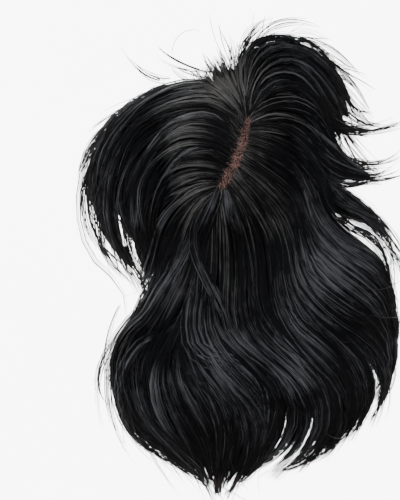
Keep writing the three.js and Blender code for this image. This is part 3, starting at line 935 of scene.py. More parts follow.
def add(tree, kind, inputs=None, **options):
    node = tree.nodes.new(kind)
    for option, value in options.items():
        setattr(node, option, value)
    for key, value in (inputs or {}).items():
        fill(tree, node.inputs[key], value)
    return node


def math_node(tree, operation, a, b=0.0):
    return add(tree, "ShaderNodeMath", {0: a, 1: b}, operation=operation).outputs[0]


def times(tree, *values):
    result = values[0]
    for value in values[1:]:
        result = math_node(tree, "MULTIPLY", result, value)
    return result


def plus(tree, *values):
    result = values[0]
    for value in values[1:]:
        result = math_node(tree, "ADD", result, value)
    return result


def vector_node(tree, operation, a, b=(0, 0, 0)):
    return add(tree, "ShaderNodeVectorMath", {0: a, 1: b}, operation=operation).outputs[0]


def scaled(tree, vector, scale):
    node = add(tree, "ShaderNodeVectorMath", {0: vector}, operation="SCALE")
    fill(tree, node.inputs["Scale"], scale)
    return node.outputs[0]


def combined(tree, x=0.0, y=0.0, z=0.0):
    return add(tree, "ShaderNodeCombineXYZ", {"X": x, "Y": y, "Z": z}).outputs[0]


def ranged(tree, value, given=(0.0, 1.0), wanted=(0.0, 1.0), kind="LINEAR"):
    limits = dict(zip(("From Min", "From Max", "To Min", "To Max"), (*given, *wanted)))
    return add(tree, "ShaderNodeMapRange", {"Value": value, **limits}, interpolation_type=kind).outputs[0]


def noise(tree, place, scale, detail, output="Fac"):
    inputs = {"Vector": place, "Scale": scale, "Detail": detail}
    return add(tree, "ShaderNodeTexNoise", inputs).outputs[output]


def mixed(tree, share, first, second):
    return add(tree, "ShaderNodeMix", {0: share, 6: first, 7: second}, data_type="RGBA").outputs[2]


def read_columns(tree, *labels):
    return (add(tree, "ShaderNodeAttribute", attribute_name=label).outputs["Fac"] for label in labels)


def object_place(tree):
    return add(tree, "ShaderNodeTexCoord").outputs["Object"]


def raised(tree, height, strength, distance):
    inputs = {"Height": height, "Strength": strength, "Distance": distance}
    return add(tree, "ShaderNodeBump", inputs).outputs[0]


def add_sockets(tree, inputs, outputs):
    for name, kind, default in inputs:
        socket = tree.interface.new_socket(name, in_out="INPUT", socket_type=kind)
        if default is not None:
            socket.default_value = default
    for name, kind in outputs:
        tree.interface.new_socket(name, in_out="OUTPUT", socket_type=kind)
    return tree.nodes.new("NodeGroupInput").outputs


def close_group(tree, **results):
    out = tree.nodes.new("NodeGroupOutput")
    for name, result in results.items():
        tree.links.new(result, out.inputs[name])


# %% [markdown]
# Geometry Nodes turn each tress into strands. The strands of a tress keep together in small
# bundles, as slightly damp hair does, and it is the gaps between bundles that draw the fine
# lines of light and dark. Every strand is a copy of its tress, moved aside by its bundle's
# place and a little by its own, shaken by noise, cut to its own length and swept as a thin
# three-sided tube that narrows to its tip. Each chance has a salt of its own, a number that
# is added to the seed, so that no two chances go together.

# %% The tree that combs strands out of a tress
STRAND_INPUTS = [
    ("Tresses", "NodeSocketGeometry", None),
    ("Strands", "NodeSocketInt", 40),
    ("Bundle Size", "NodeSocketInt", 5),
    ("Bundle Spread", "NodeSocketFloat", 0.3),
    ("Steps", "NodeSocketInt", 22),
    ("Thickness", "NodeSocketFloat", 0.0002),
    ("Wander", "NodeSocketFloat", 0.004),
    ("Frizz", "NodeSocketFloat", 0.0015),
    ("Stray Share", "NodeSocketFloat", 0.06),
    ("Stray Reach", "NodeSocketFloat", 1.5),
    ("Shortest", "NodeSocketFloat", 0.85),
    ("Seed", "NodeSocketInt", 1),
    ("Finish", "NodeSocketMaterial", None),
]
ROOT_GRIP = 0.12
DRIFT_PER_METRE = 13.0
SHAKE_PER_METRE = 18.0
NOISE_PHASES = (0.0, 40.0)
TUBE_SIDES = 3
TAPER_SHARES, TAPER_WIDTHS = (0.8, 1.0), (1.0, 0.4)


def new_tree(title, inputs, output):
    tree = bpy.data.node_groups.new(title, "GeometryNodeTree")
    return tree, add_sockets(tree, inputs, [(output, "NodeSocketGeometry")])


def chance(tree, seed, low, high, salt, which):
    seed = math_node(tree, "ADD", seed, salt)
    node = add(tree, "FunctionNodeRandomValue", {"ID": which, "Seed": seed}, data_type="FLOAT")
    fill(tree, node.inputs[2], low)
    fill(tree, node.inputs[3], high)
    return node.outputs[1]


def carried(tree, name):
    return add(tree, "GeometryNodeInputNamedAttribute", {"Name": name}, data_type="FLOAT").outputs[0]


def close_tree(tree, shape, finish):
    whole = add(tree, "GeometryNodeRealizeInstances", {"Geometry": shape}).outputs[0]
    finished = add(tree, "GeometryNodeSetMaterial", {"Geometry": whole, "Material": finish}).outputs[0]
    tree.links.new(finished, tree.nodes.new("NodeGroupOutput").inputs[0])


def ring_place(tree, seed, salt, which, reach):
    angle = chance(tree, seed, 0.0, 2 * math.pi, salt, which)
    radius = times(tree, math_node(tree, "SQRT", chance(tree, seed, 0.0, 1.0, salt + 1, which)), reach)
    aside = times(tree, radius, math_node(tree, "COSINE", angle))
    above = times(tree, radius, math_node(tree, "SINE", angle))
    return aside, above


def noise_shake(tree, place, phase, scale, amount):
    inputs = {"Vector": place, "W": phase, "Scale": scale, "Detail": 2.0}
    cloud = add(tree, "ShaderNodeTexNoise", inputs, noise_dimensions="4D").outputs["Color"]
    return scaled(tree, vector_node(tree, "SUBTRACT", cloud, (0.5, 0.5, 0.5)), amount)


def strand_tree():
    tree, given = new_tree("comb strands", STRAND_INPUTS, "Strands")
    seed = given["Seed"]
    curves = add(tree, "GeometryNodeMeshToCurve", {"Mesh": given["Tresses"]}).outputs[0]
    even = add(tree, "GeometryNodeResampleCurve", {"Curve": curves, "Count": given["Steps"]}).outputs[0]
    own = {0: carried(tree, "amount")}
    amount = add(tree, "GeometryNodeFieldOnDomain", own, domain="CURVE", data_type="FLOAT").outputs[0]
    copying = {"Geometry": even, "Amount": times(tree, amount, given["Strands"])}
    copies = add(tree, "GeometryNodeDuplicateElements", copying, domain="SPLINE").outputs[0]

    strand = add(tree, "GeometryNodeCurveOfPoint").outputs["Curve Index"]
    bundle = math_node(tree, "FLOOR", math_node(tree, "DIVIDE", strand, given["Bundle Size"]))
    share = carried(tree, "share")
    luck = chance(tree, seed, 0.0, 1.0, 30, strand)
    is_stray = math_node(tree, "LESS_THAN", luck, given["Stray Share"])
    looser = plus(tree, times(tree, is_stray, given["Stray Reach"], share), 1.0)
    bundle_aside, bundle_above = ring_place(tree, seed, 10, bundle, 1.0)
    own_reach = times(tree, given["Bundle Spread"], looser)
    own_aside, own_above = ring_place(tree, seed, 20, strand, own_reach)
    aside = times(tree, plus(tree, bundle_aside, own_aside), carried(tree, "spread"))
    above = times(tree, plus(tree, bundle_above, own_above), carried(tree, "rise"))
    tangent = add(tree, "GeometryNodeInputTangent").outputs[0]
    side = vector_node(tree, "NORMALIZE", vector_node(tree, "CROSS_PRODUCT", tangent, (0, 0, 1)))
    offset = vector_node(tree, "ADD", scaled(tree, side, aside), scaled(tree, (0, 0, 1), above))

    place = add(tree, "GeometryNodeInputPosition").outputs[0]
    grip = plus(tree, share, ROOT_GRIP)
    phase = chance(tree, seed, *NOISE_PHASES, 40, bundle)
    drift = noise_shake(tree, place, phase, DRIFT_PER_METRE, times(tree, given["Wander"], grip))
    phase = chance(tree, seed, *NOISE_PHASES, 41, strand)
    frizz = times(tree, given["Frizz"], grip, looser)
    shake = noise_shake(tree, place, phase, SHAKE_PER_METRE, frizz)
    offset = vector_node(tree, "ADD", offset, vector_node(tree, "ADD", drift, shake))
    moved = add(tree, "GeometryNodeSetPosition", {"Geometry": copies, "Offset": offset}).outputs[0]

    parts = add(tree, "ShaderNodeSeparateXYZ", {0: place}).outputs
    lowest = math_node(tree, "MAXIMUM", parts["Z"], times(tree, given["Thickness"], 1.2))
    laid = combined(tree, parts["X"], parts["Y"], lowest)
    resting = add(tree, "GeometryNodeSetPosition", {"Geometry": moved, "Position": laid}).outputs[0]

    whole_strand = add(tree, "GeometryNodeInputIndex").outputs[0]
    cut = {
        "Curve": resting,
        "Start": chance(tree, seed, 0.0, 0.02, 50, whole_strand),
        "End": chance(tree, seed, given["Shortest"], 1.0, 60, whole_strand),
    }
    trimmed = add(tree, "GeometryNodeTrimCurve", cut, mode="FACTOR").outputs[0]
    for label, salt, which in (("strand", 80, strand), ("bundle", 81, bundle)):
        named = {"Geometry": trimmed, "Name": label, "Value": chance(tree, seed, 0.0, 1.0, salt, which)}
        kind = {"data_type": "FLOAT", "domain": "POINT"}
        trimmed = add(tree, "GeometryNodeStoreNamedAttribute", named, **kind).outputs[0]

    way = add(tree, "GeometryNodeSplineParameter").outputs["Factor"]
    taper = ranged(tree, way, TAPER_SHARES, TAPER_WIDTHS)
    thick = times(tree, given["Thickness"], taper, chance(tree, seed, 0.7, 1.3, 70, strand))
    sides = {"Resolution": TUBE_SIDES, "Radius": 1.0}
    ring = add(tree, "GeometryNodeCurvePrimitiveCircle", sides).outputs[0]
    swept = {"Curve": trimmed, "Profile Curve": ring, "Scale": thick, "Fill Caps": True}
    tubes = add(tree, "GeometryNodeCurveToMesh", swept).outputs[0]
    smooth = add(tree, "GeometryNodeSetShadeSmooth", {"Geometry": tubes}).outputs[0]
    close_tree(tree, smooth, given["Finish"])
    return tree


COMB = strand_tree()
print("comb strands:", len(COMB.nodes), "nodes")

# %% Run a tree on an object and keep the plain mesh
def grow(name, carrier, tree, values):
    modifier = carrier.modifiers.new("grow", "NODES")
    modifier.node_group = tree
    for item in tree.interface.items_tree:
        if item.in_out == "INPUT" and item.name in values:
            modifier[item.identifier] = values[item.name]
    depsgraph = bpy.context.evaluated_depsgraph_get()
    mesh = bpy.data.meshes.new_from_object(carrier.evaluated_get(depsgraph))
    carrier.modifiers.clear()
    mesh.name = name
    made = link_up(name, mesh)
    bpy.data.objects.remove(carrier)
    triangles = sum(len(polygon.vertices) - 2 for polygon in mesh.polygons)
    print(f"{name}: {triangles} triangles")
    return made


# %% [markdown]
# Hair colour is nearly black everywhere. Where a crest would catch the light it is painted
# greyer, as painted sheen, and it is browner towards the tips and in the odd strand. The
# strands, the loose hairs and the layer under them share this as one shader group, each with
# its own colours. The edge between painted sheen and painted shade shifts from bundle to
# bundle and strand to strand, so it frays. The painted sheen is a little warmer near the
# roots than along the lengths.

# %% The shared tint of hair
SHEEN_EDGE = (0.38, 1.1)
ROOT_SHARES = (0.15, 0.5)
TIP_SHARES = (0.6, 1.0)
ROOT_SHEEN_WARMTH = np.array([1.09, 1.03, 0.91])


def tint_group():
    group = bpy.data.node_groups.new("hair tint", "ShaderNodeTree")
    inputs = [(name, "NodeSocketColor", None) for name in ("Dark", "Light", "Root Light", "Tip")]
    inputs.append(("Tip Share", "NodeSocketFloat", None))
    given = add_sockets(group, inputs, [("Color", "NodeSocketColor"), ("Roughness", "NodeSocketFloat")])
    strand, bundle, share, painted_sheen = read_columns(group, "strand", "bundle", "share", "painted_sheen")
    cloud = noise(group, object_place(group), 90.0, 3.0)
    tone = painted_sheen
    for source, weight in ((bundle, 0.8), (strand, 0.6), (cloud, 0.5)):
        tone = plus(group, tone, times(group, plus(group, source, -0.5), weight))
    lit = ranged(group, tone, SHEEN_EDGE, kind="SMOOTHSTEP")
    sheen = mixed(group, ranged(group, share, ROOT_SHARES), given["Root Light"], given["Light"])
    body = mixed(group, lit, given["Dark"], sheen)
    late = times(group, ranged(group, share, TIP_SHARES), given["Tip Share"], strand)
    colour = mixed(group, late, body, given["Tip"])
    close_group(group, Color=colour, Roughness=ranged(group, lit, wanted=(0.62, 0.3)))
    return group


HAIR_TINT = tint_group()


def new_material(name, **values):
    material = bpy.data.materials.new(name)
    material.use_nodes = True
    shader = material.node_tree.nodes["Principled BSDF"]
    for key, value in values.items():
        shader.inputs[key.replace("_", " ")].default_value = value
    return material, material.node_tree, shader


def hair_material(name, dark, light, tip, tip_share, specular):
    material, tree, shader = new_material(name, IOR=1.5, Specular_IOR_Level=specular)
    tint = add(tree, "ShaderNodeGroup", {}, node_tree=HAIR_TINT)
    root_light = tuple(ROOT_SHEEN_WARMTH * light)
    for key, value in (("Dark", dark), ("Light", light), ("Root Light", root_light), ("Tip", tip)):
        tint.inputs[key].default_value = (*value, 1)
    tint.inputs["Tip Share"].default_value = tip_share
    fill(tree, shader.inputs["Base Color"], tint.outputs["Color"])
    fill(tree, shader.inputs["Roughness"], tint.outputs["Roughness"])
    return material


STRAND_FINISH = hair_material(
    "black hair strands",
    dark=(0.0005, 0.0006, 0.0014),
    light=(0.102, 0.104, 0.11),
    tip=(0.026, 0.02, 0.019),
    tip_share=0.4,
    specular=0.2,
)
LOOSE_FINISH = hair_material(
    "loose hair strands",
    dark=(0.008, 0.007, 0.008),
    light=(0.038, 0.033, 0.032),
    tip=(0.07, 0.05, 0.042),
    tip_share=0.8,
    specular=0.2,
)
# The hair under the strands is the hair finish painted in shade: almost no sheen, since the strands over
# it keep the light off
SHADED_UNDER_FINISH = hair_material(
    "hair under the strands",
    dark=(0.001, 0.001, 0.0015),
    light=(0.006, 0.0062, 0.007),
    tip=(0.004, 0.004, 0.004),
    tip_share=0.5,
    specular=0.1,
)


def add_grooves_and_shade(material):
    tree = material.node_tree
    shader = tree.nodes["Principled BSDF"]
    across, share = read_columns(tree, "across", "share")
    stretched = combined(tree, times(tree, across, 46.0), times(tree, share, 7.0))
    groove = noise(tree, stretched, 1.0, 4.0)
    # The colour is darkened in the hollows of the grooves: painted shade
    depth = math_node(tree, "POWER", plus(tree, groove, 0.5), 3.0)
    colour = shader.inputs["Base Color"].links[0].from_socket
    fill(tree, shader.inputs["Base Color"], scaled(tree, colour, depth))
    fill(tree, shader.inputs["Normal"], raised(tree, groove, 0.8, 0.6 * MM))


add_grooves_and_shade(SHADED_UNDER_FINISH)

# %% Grow the strands of every fall (strands in a tress, steps along a strand)
STRANDS_PER_TRESS = {
    "strands_left": (28, 20),
    "strands_back": (28, 21),
    "strands_right": (28, 20),
    "strands_side": (30, 18),
    "strands_front": (28, 16),
    "strands_roots": (7, 9),
    "strands_fan": (12, 8),
    "strip_roots": (1, 7),
    "top_locks": (20, 20),
}
THICKNESS = {"strands_roots": 0.2, "strands_fan": 0.28, "strip_roots": 0.16}
USUAL_THICKNESS = 0.29
FEW_STEPS = 10
# The least length of a strand, as a share of its tress: the falls at the bottom are cut evenly
SHORTEST = {"strands_back": 0.94, "strands_right": 0.92}
grown = {}
for number, (name, tresses) in enumerate(TRESSES.items()):
    strands, steps = STRANDS_PER_TRESS[name]
    short = steps < FEW_STEPS
    values = {
        "Strands": strands,
        "Steps": steps,
        "Bundle Size": 4,
        "Bundle Spread": 0.3,
        "Thickness": THICKNESS.get(name, USUAL_THICKNESS) * MM,
        "Wander": (3 if short else 15) * MM,
        "Frizz": 2.4 * MM,
        "Shortest": SHORTEST.get(name, 0.7 if short else 0.88),
        "Seed": 100 * number,
        "Finish": STRAND_FINISH,
    }
    grown[name] = grow(name, edge_mesh(name + " tresses", tresses), COMB, values)

loose_values = {
    "Strands": 1,
    "Steps": 12,
    "Thickness": 0.33 * MM,
    "Wander": 3.5 * MM,
    "Frizz": 1.8 * MM,
    "Bundle Size": 2,
    "Bundle Spread": 0.5,
    "Stray Share": 0.2,
    "Shortest": 0.55,
    "Seed": 900,
    "Finish": LOOSE_FINISH,
}
grown["loose_hairs"] = grow("loose_hairs", edge_mesh("loose tresses", LOOSE), COMB, loose_values)

# %% [markdown]
# Under the strands lies the body of each fall, the hair that is never seen strand by
# strand. Each lock is one arched sweep with fine grooves along it, shallower than the lock
# that the model holds, so the strands cover it. How far it reaches along its guide, and
# the share over which it narrows, follow how full the tips are: full at the bottom point,
# thin where a lock ends by itself, and airy where light comes through the ends.

# %% The arched body under the strands
BODY_RING = 12
BODY_STEPS = 26
BODY_WIDTH = 1.06
FILL_WIDTH = 0.95
BODY_DEPTH = 0.6
BODY_RELIEF = 0.8
BODY_START = 0.02
BODY_FOOT = 0.3 * MM
CAP_FOOT = 0.5 * MM
CAP_EDGE = 1.08
GOLDEN, OTHER_GOLDEN = 0.618, 0.381
# How far a body reaches along its guide, and the share over which it narrows, by guide
USUAL_TIP = (0.97, 0.16)
TIPS = dict.fromkeys([9, 20, 21, 22, 23, 31, 32, 33], (0.93, 0.34))
TIPS |= dict.fromkeys([5, 6, 7, 8, 34, 35], (0.86, 0.3))
TIPS |= dict.fromkeys(range(10, 20), (0.99, 0.17))


def reach_of(number):
    return TIPS.get(number, USUAL_TIP)


def lock_body(path, depth, full, reach, taper, phase):
    shares = np.linspace(BODY_START, reach, BODY_STEPS)
    path = read_path(path, shares)
    closing = np.clip((reach - shares) / taper, 0, 1) ** 0.6
    opening = np.clip(shares / 0.12, 0, 1)
    half = np.maximum(np.interp(shares, SHARES, full) / 2 * closing, 0.25 * MM)
    depth = np.interp(shares, SHARES, depth) * BODY_DEPTH * closing * opening
    depth += relief(path) * closing * opening * BODY_RELIEF
    angles = np.linspace(0, 2 * np.pi, BODY_RING, endpoint=False) - np.pi / 2
    grooves = 1 + 0.05 * np.sin(angles * 23 + phase) + 0.04 * np.sin(angles * 11)
    arch = np.maximum(np.sin(angles), 0) ** 0.7
    asides = half[:, None] * np.cos(angles) * grooves
    spots = path[:, None, :] + sides_of(path)[:, None, :] * asides[:, :, None]
    bed = bed_height(spots)
    foot = np.where(cap_share(spots) < CAP_EDGE, bed + CAP_FOOT, BODY_FOOT)
    top = bed + depth[:, None] * grooves
    height = foot + np.maximum(top - foot, BODY_FOOT) * arch
    points = np.dstack([spots, height]).reshape(-1, 3)
    faces = []
    for s in range(BODY_STEPS - 1):
        near, far = s * BODY_RING, (s + 1) * BODY_RING
        for a in range(BODY_RING):
            b = (a + 1) % BODY_RING
            faces.append((near + a, near + b, far + b, far + a))
    last = (BODY_STEPS - 1) * BODY_RING
    faces.append(tuple(range(BODY_RING - 1, -1, -1)))
    faces.append(tuple(range(last, last + BODY_RING)))
    columns = {
        "share": np.repeat(shares, BODY_RING),
        "painted_sheen": np.repeat(painted_sheen_of(relief(path)), BODY_RING),
        "across": np.tile(np.linspace(0, 1, BODY_RING), BODY_STEPS),
        "strand": np.tile(np.arange(BODY_RING) * GOLDEN % 1, BODY_STEPS),
        "bundle": np.tile(np.arange(BODY_RING) * OTHER_GOLDEN % 1, BODY_STEPS),
    }
    return points, faces, columns


def body_on(number):
    full = TIP_WIDTH + (GUIDES[number][3] * LOCK_WIDTH - TIP_WIDTH) * along(WIDTH_ALONG, SHARES)
    return lock_body(PATHS[number], DEPTHS[number], full * BODY_WIDTH, *reach_of(number), number)


def body_between(i, j):
    gap = gap_between(i, j)
    reach, taper = min(reach_of(i), reach_of(j))
    reach = min(reach - 0.02, OPENINGS.get(i, 1.0) + 0.04)
    path, depth = (PATHS[i] + PATHS[j]) / 2, (DEPTHS[i] + DEPTHS[j]) / 2
    return lock_body(path, depth, gap * FILL_WIDTH, reach, taper, i)


# Short locks of the same kind under the fan in front
FAN_LOCKS = [
    (0.0, [134, 132, 138, 146], 0.15, 0.6, 0.45, 0.3),
    (0.0, [116, 114, 114, 116], 0.15, 0.6, 0.45, 0.4),
    (0.0, [99, 100, 101, 101], 0.145, 0.6, 0.45, 0.5),
    (0.0, [82, 84, 84, 76], 0.15, 0.6, 0.45, 0.6),
]
FAN_WIDTH_ALONG = [0.2, 0.6, 0.9, 1.0, 0.9]
FAN_TIP = (0.97, 0.3)


def fan_body(row):
    full = row[3] * LOCK_WIDTH * along(FAN_WIDTH_ALONG, SHARES)
    return lock_body(guide_path(*row[:3]), depth_of(row), full, *FAN_TIP, 0)


def body_piece(name, locks, gaps, fans, node):
    made_locks = [body_on(number) for number in locks]
    made_locks += [body_between(number, number + 1) for number in gaps]
    made_locks += [fan_body(row) for row in fans]
    faces, base = [], 0
    for points, own_faces, _ in made_locks:
        faces += [tuple(base + v for v in face) for face in own_faces]
        base += len(points)
    mesh = mesh_of(name, np.vstack([lock[0] for lock in made_locks]), [], faces)
    for label in made_locks[0][2]:
        store(mesh, label, np.concatenate([lock[2][label] for lock in made_locks]))
    mesh.polygons.foreach_set("use_smooth", [True] * len(mesh.polygons))
    mesh.materials.append(SHADED_UNDER_FINISH)
    mesh.update()
    made = link_up(name, mesh)
    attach(made, "root")
    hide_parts(node)
    print(f"{name}: {len(faces)} faces")
    return made


body_piece("hair_left_body", range(2, 9), range(1, 9), FAN_LOCKS[:3], "hair_left")
body_piece("hair_back_body", range(10, 20), range(9, 19), [], "hair_back")
body_piece("hair_right_body", range(20, 38), range(19, 37), FAN_LOCKS[3:], "hair_right")

for made in grown.values():
    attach(made, "root")

# %% [markdown]
# On the strip each hair is tied to the mesh with a knot, and the knots show as dark specks.
# They sit in staggered rows a little apart. Geometry Nodes put one small rough ball on each
# place, with its own size.

# %% Tie the knots of the parting
KNOT_PITCH = 1.6 * MM
KNOT_COLUMNS = range(-5, 6)
KNOT_CHANCE = 0.85
BALL = {"Radius": 1.0, "Subdivisions": 1}


def knot_tree():
    inputs = [
        ("Places", "NodeSocketGeometry", None),
        ("Knot Size", "NodeSocketFloat", 0.0004),
        ("Seed", "NodeSocketInt", 5),
        ("Finish", "NodeSocketMaterial", None),
    ]
    tree, given = new_tree("tie knots", inputs, "Knots")
    which = add(tree, "GeometryNodeInputIndex").outputs[0]
    ball = add(tree, "GeometryNodeMeshIcoSphere", BALL).outputs["Mesh"]
    size = times(tree, given["Knot Size"], chance(tree, given["Seed"], 0.6, 1.4, 1, which))
    long = times(tree, size, chance(tree, given["Seed"], 0.9, 1.7, 2, which))
    shape = combined(tree, long, size, size)
    turn = combined(tree, z=chance(tree, given["Seed"], 0.0, 3.1, 3, which))
    set_in = {"Points": given["Places"], "Instance": ball, "Scale": shape, "Rotation": turn}
    close_tree(tree, add(tree, "GeometryNodeInstanceOnPoints", set_in).outputs[0], given["Finish"])
    return tree


def knot_places():
    places = []
    rows = int(PARTING_LENGTH / KNOT_PITCH)
    for row in range(rows + 2):
        for column in KNOT_COLUMNS:
            aside = (column + 0.5 * (row % 2)) * KNOT_PITCH + rng.normal(0, 0.2) * MM
            spot = parting_point((row + rng.normal(0, 0.15)) / rows, aside)
            if rng.uniform() < KNOT_CHANCE:
                places.append((*spot, strip_height(spot)))
    return link_up("knot places", mesh_of("knot places", places, [], []))


knot_values = {"Knot Size": 0.62 * MM, "Seed": 5, "Finish": LOOSE_FINISH}
knots = grow("parting_knots", knot_places(), knot_tree(), knot_values)
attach(knots, "root")

# %% [markdown]
# The cap is a fine net of dark thread, and the parting shows the skin colour of a much
# finer weave. Both are woven, and so is the ribbon over the seam between them, so they
# share one group: two sets of crossing threads that go over and under each other, a little
# uneven. The threads come from sine waves on Object coordinates, so they keep their size.

# %% The shared weave
def weave_group():
    group = bpy.data.node_groups.new("woven threads", "ShaderNodeTree")
    inputs = [
        ("Threads Per Metre", "NodeSocketFloat", 500.0),
        ("Unevenness", "NodeSocketFloat", 0.2),
        ("Thread", "NodeSocketColor", None),
        ("Gap", "NodeSocketColor", None),
    ]
    outputs = [("Color", "NodeSocketColor")]
    outputs += [(name, "NodeSocketFloat") for name in ("Roughness", "Height")]
    given = add_sockets(group, inputs, outputs)
    counted = scaled(group, object_place(group), given["Threads Per Metre"])
    bend = noise(group, counted, 0.23, 2.0, "Color")
    bend = scaled(group, vector_node(group, "SUBTRACT", bend, (0.5, 0.5, 0.5)), given["Unevenness"])
    counted = vector_node(group, "ADD", counted, scaled(group, bend, 4.0))
    parts = add(group, "ShaderNodeSeparateXYZ", {0: counted}).outputs
    slant = plus(group, parts["X"], parts["Y"])
    other = math_node(group, "SUBTRACT", parts["X"], parts["Y"])
    sines = [math_node(group, "SINE", times(group, way, math.pi)) for way in (slant, other)]
    over = times(group, *sines, 0.3)
    turns = [math_node(group, "COSINE", times(group, way, 2 * math.pi)) for way in (slant, other)]
    waves = [plus(group, times(group, turn, 0.5), 0.5) for turn in turns]
    first = times(group, waves[0], plus(group, over, 0.8))
    second = times(group, waves[1], math_node(group, "SUBTRACT", 0.8, over))
    height = math_node(group, "MAXIMUM", first, second)
    is_thread = ranged(group, height, (0.3, 0.6), kind="SMOOTHSTEP")
    fuzz = noise(group, counted, 3.0, 3.0)
    close_group(
        group,
        Color=mixed(group, is_thread, given["Gap"], given["Thread"]),
        Roughness=ranged(group, fuzz, wanted=(0.95, 0.65)),
        Height=plus(group, height, times(group, fuzz, 0.25)),
    )
    return group


WEAVE = weave_group()


def woven_material(name, threads, unevenness, thread, gap, relief_depth, stain):
    material, tree, shader = new_material(name)
    weave = add(tree, "ShaderNodeGroup", {}, node_tree=WEAVE)
    weave.inputs["Threads Per Metre"].default_value = threads
    weave.inputs["Unevenness"].default_value = unevenness
    weave.inputs["Thread"].default_value = (*thread, 1)
    weave.inputs["Gap"].default_value = (*gap, 1)
    cloud = noise(tree, object_place(tree), 210.0, 4.0)
    patch = ranged(tree, cloud, (0.3, 0.7), (1 - stain, 1.0))
    fill(tree, shader.inputs["Base Color"], scaled(tree, weave.outputs["Color"], patch))
    fill(tree, shader.inputs["Roughness"], weave.outputs["Roughness"])
    fill(tree, shader.inputs["Normal"], raised(tree, weave.outputs["Height"], 0.7, relief_depth))
    return material


NET_FINISH = woven_material(
    "net",
    threads=420.0,
    unevenness=0.25,
    thread=(0.03, 0.023, 0.019),
    gap=(0.006, 0.005, 0.004),
    relief_depth=0.3 * MM,
    stain=0.4,
)
SKIN_FINISH = woven_material(
    "parting mesh",
    threads=1500.0,
    unevenness=0.3,
    thread=(0.25, 0.128, 0.1),
    gap=(0.1, 0.045, 0.035),
    relief_depth=0.1 * MM,
    stain=0.5,
)
RIBBON_FINISH = woven_material(
    "seam ribbon",
    threads=900.0,
    unevenness=0.15,
    thread=(0.022, 0.018, 0.016),
    gap=(0.008, 0.007, 0.006),
    relief_depth=0.15 * MM,
    stain=0.3,
)

# %% [markdown]
# The clips are spring steel under dark enamel. Enamel is glossy where it's whole, dull where
# fingers have rubbed it, and scratched along the clip, so noise drives the roughness, a
# stretched noise draws the scratches, and in a few small chips the metal shows.

# %% The enamel of the clips
ENAMEL = (0.02, 0.019, 0.021)
BARE_STEEL = (0.3, 0.29, 0.28, 1)
CHIP_EDGE = (0.68, 0.72)
SCRATCHES_PER_METRE = (90.0, 1600.0, 1600.0)


def clip_material():
    material, tree, shader = new_material("clip enamel")
    place = object_place(tree)
    rub = noise(tree, place, 160.0, 4.0)
    grain = add(tree, "ShaderNodeMapping", {"Vector": place, "Scale": SCRATCHES_PER_METRE}).outputs[0]
    scratch = noise(tree, grain, 1.0, 3.0)
    chip = ranged(tree, noise(tree, place, 900.0, 2.0), CHIP_EDGE, kind="SMOOTHSTEP")
    shade = scaled(tree, ENAMEL, plus(tree, rub, 0.5))
    fill(tree, shader.inputs["Base Color"], mixed(tree, chip, shade, BARE_STEEL))
    fill(tree, shader.inputs["Metallic"], chip)
    worn = plus(tree, rub, times(tree, scratch, 0.5))
    fill(tree, shader.inputs["Roughness"], ranged(tree, worn, wanted=(0.18, 0.6)))
    height = math_node(tree, "SUBTRACT", scratch, chip)
    fill(tree, shader.inputs["Normal"], raised(tree, height, 0.4, 0.05 * MM))
    return material


def finish_node(name, material):
    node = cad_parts[name]
    node.data.materials.clear()
    node.data.materials.append(material)


CLIP_FINISH = clip_material()
finish_node("base_cap", NET_FINISH)
finish_node("part_panel", SKIN_FINISH)
for side in ("front", "back", "left", "right"):
    finish_node("clip_" + side, CLIP_FINISH)

# %% [markdown]
# A flat ribbon is sewn over the seam between the panel and the net, so that the stitching
# doesn't scratch and no slot shows. It follows the panel's edge, half on the panel and half
# on the cap. Its heights are read off both with rays, and one closed section is swept round.

# %% The ribbon over the panel's seam
RIBBON_SECTION = [(-2.2, 0.1), (-1.6, 0.5), (0.2, 0.6), (2.0, 0.5), (2.6, 0.1), (0.2, 0.1)]
RIBBON_OUT, RIBBON_UP = np.array(RIBBON_SECTION).T * MM
RIBBON_EDGES = RIBBON_OUT[[0, 4]]
STITCHED_CORNERS = (1, 3)
RIBBON_STEPS = 24
ROUND_STEPS = 10
cap_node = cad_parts["base_cap"]


def cap_or_panel(spot):
    return max(height_on(node, spot, 0.0) for node in (panel, cap_node))


def ribbon_places():
    places = []
    for side in (0, 1):
        across = PARTING_HEADING + math.pi * (side - 0.5)
        for i in range(RIBBON_STEPS + 1):
            share = 1 - i / RIBBON_STEPS if side else i / RIBBON_STEPS
            places.append((parting_point(share), across))
        end = parting_point(0.0 if side else 1.0)
        places += [(end, across + math.pi * i / ROUND_STEPS) for i in range(1, ROUND_STEPS)]
    return places


def ribbon_rings():
    rings = []
    for middle, across in ribbon_places():
        way = heading_way(across)
        heights = [cap_or_panel(middle + way * (PANEL_WIDTH / 2 + edge)) for edge in RIBBON_EDGES]
        spots = middle + way * (PANEL_WIDTH / 2 + RIBBON_OUT[:, None])
        rings.append(np.column_stack([spots, np.interp(RIBBON_OUT, RIBBON_EDGES, heights) + RIBBON_UP]))
    return rings


def sweep_closed(name, rings):
    count, size = len(rings), len(rings[0])
    faces = []
    for i in range(count):
        for k in range(size):
            j, m = (i + 1) % count, (k + 1) % size
            faces.append((i * size + k, j * size + k, j * size + m, i * size + m))
    mesh = mesh_of(name, np.vstack(rings), [], faces)
    shape = bmesh.new()
    shape.from_mesh(mesh)
    bmesh.ops.recalc_face_normals(shape, faces=shape.faces)
    shape.to_mesh(mesh)
    shape.free()
    return link_up(name, mesh)


RINGS = ribbon_rings()
ribbon = sweep_closed("seam_ribbon", RINGS)
ribbon.data.materials.append(RIBBON_FINISH)
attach(ribbon, "root")
print("seam_ribbon:", len(ribbon.data.polygons), "faces")

# %% [markdown]
# Two rows of small stitches hold the ribbon down, one near each edge. Each stitch is one
# short thread, thick in the middle and sunk at both ends. Geometry Nodes set them along two
# closed lines at an even pitch.

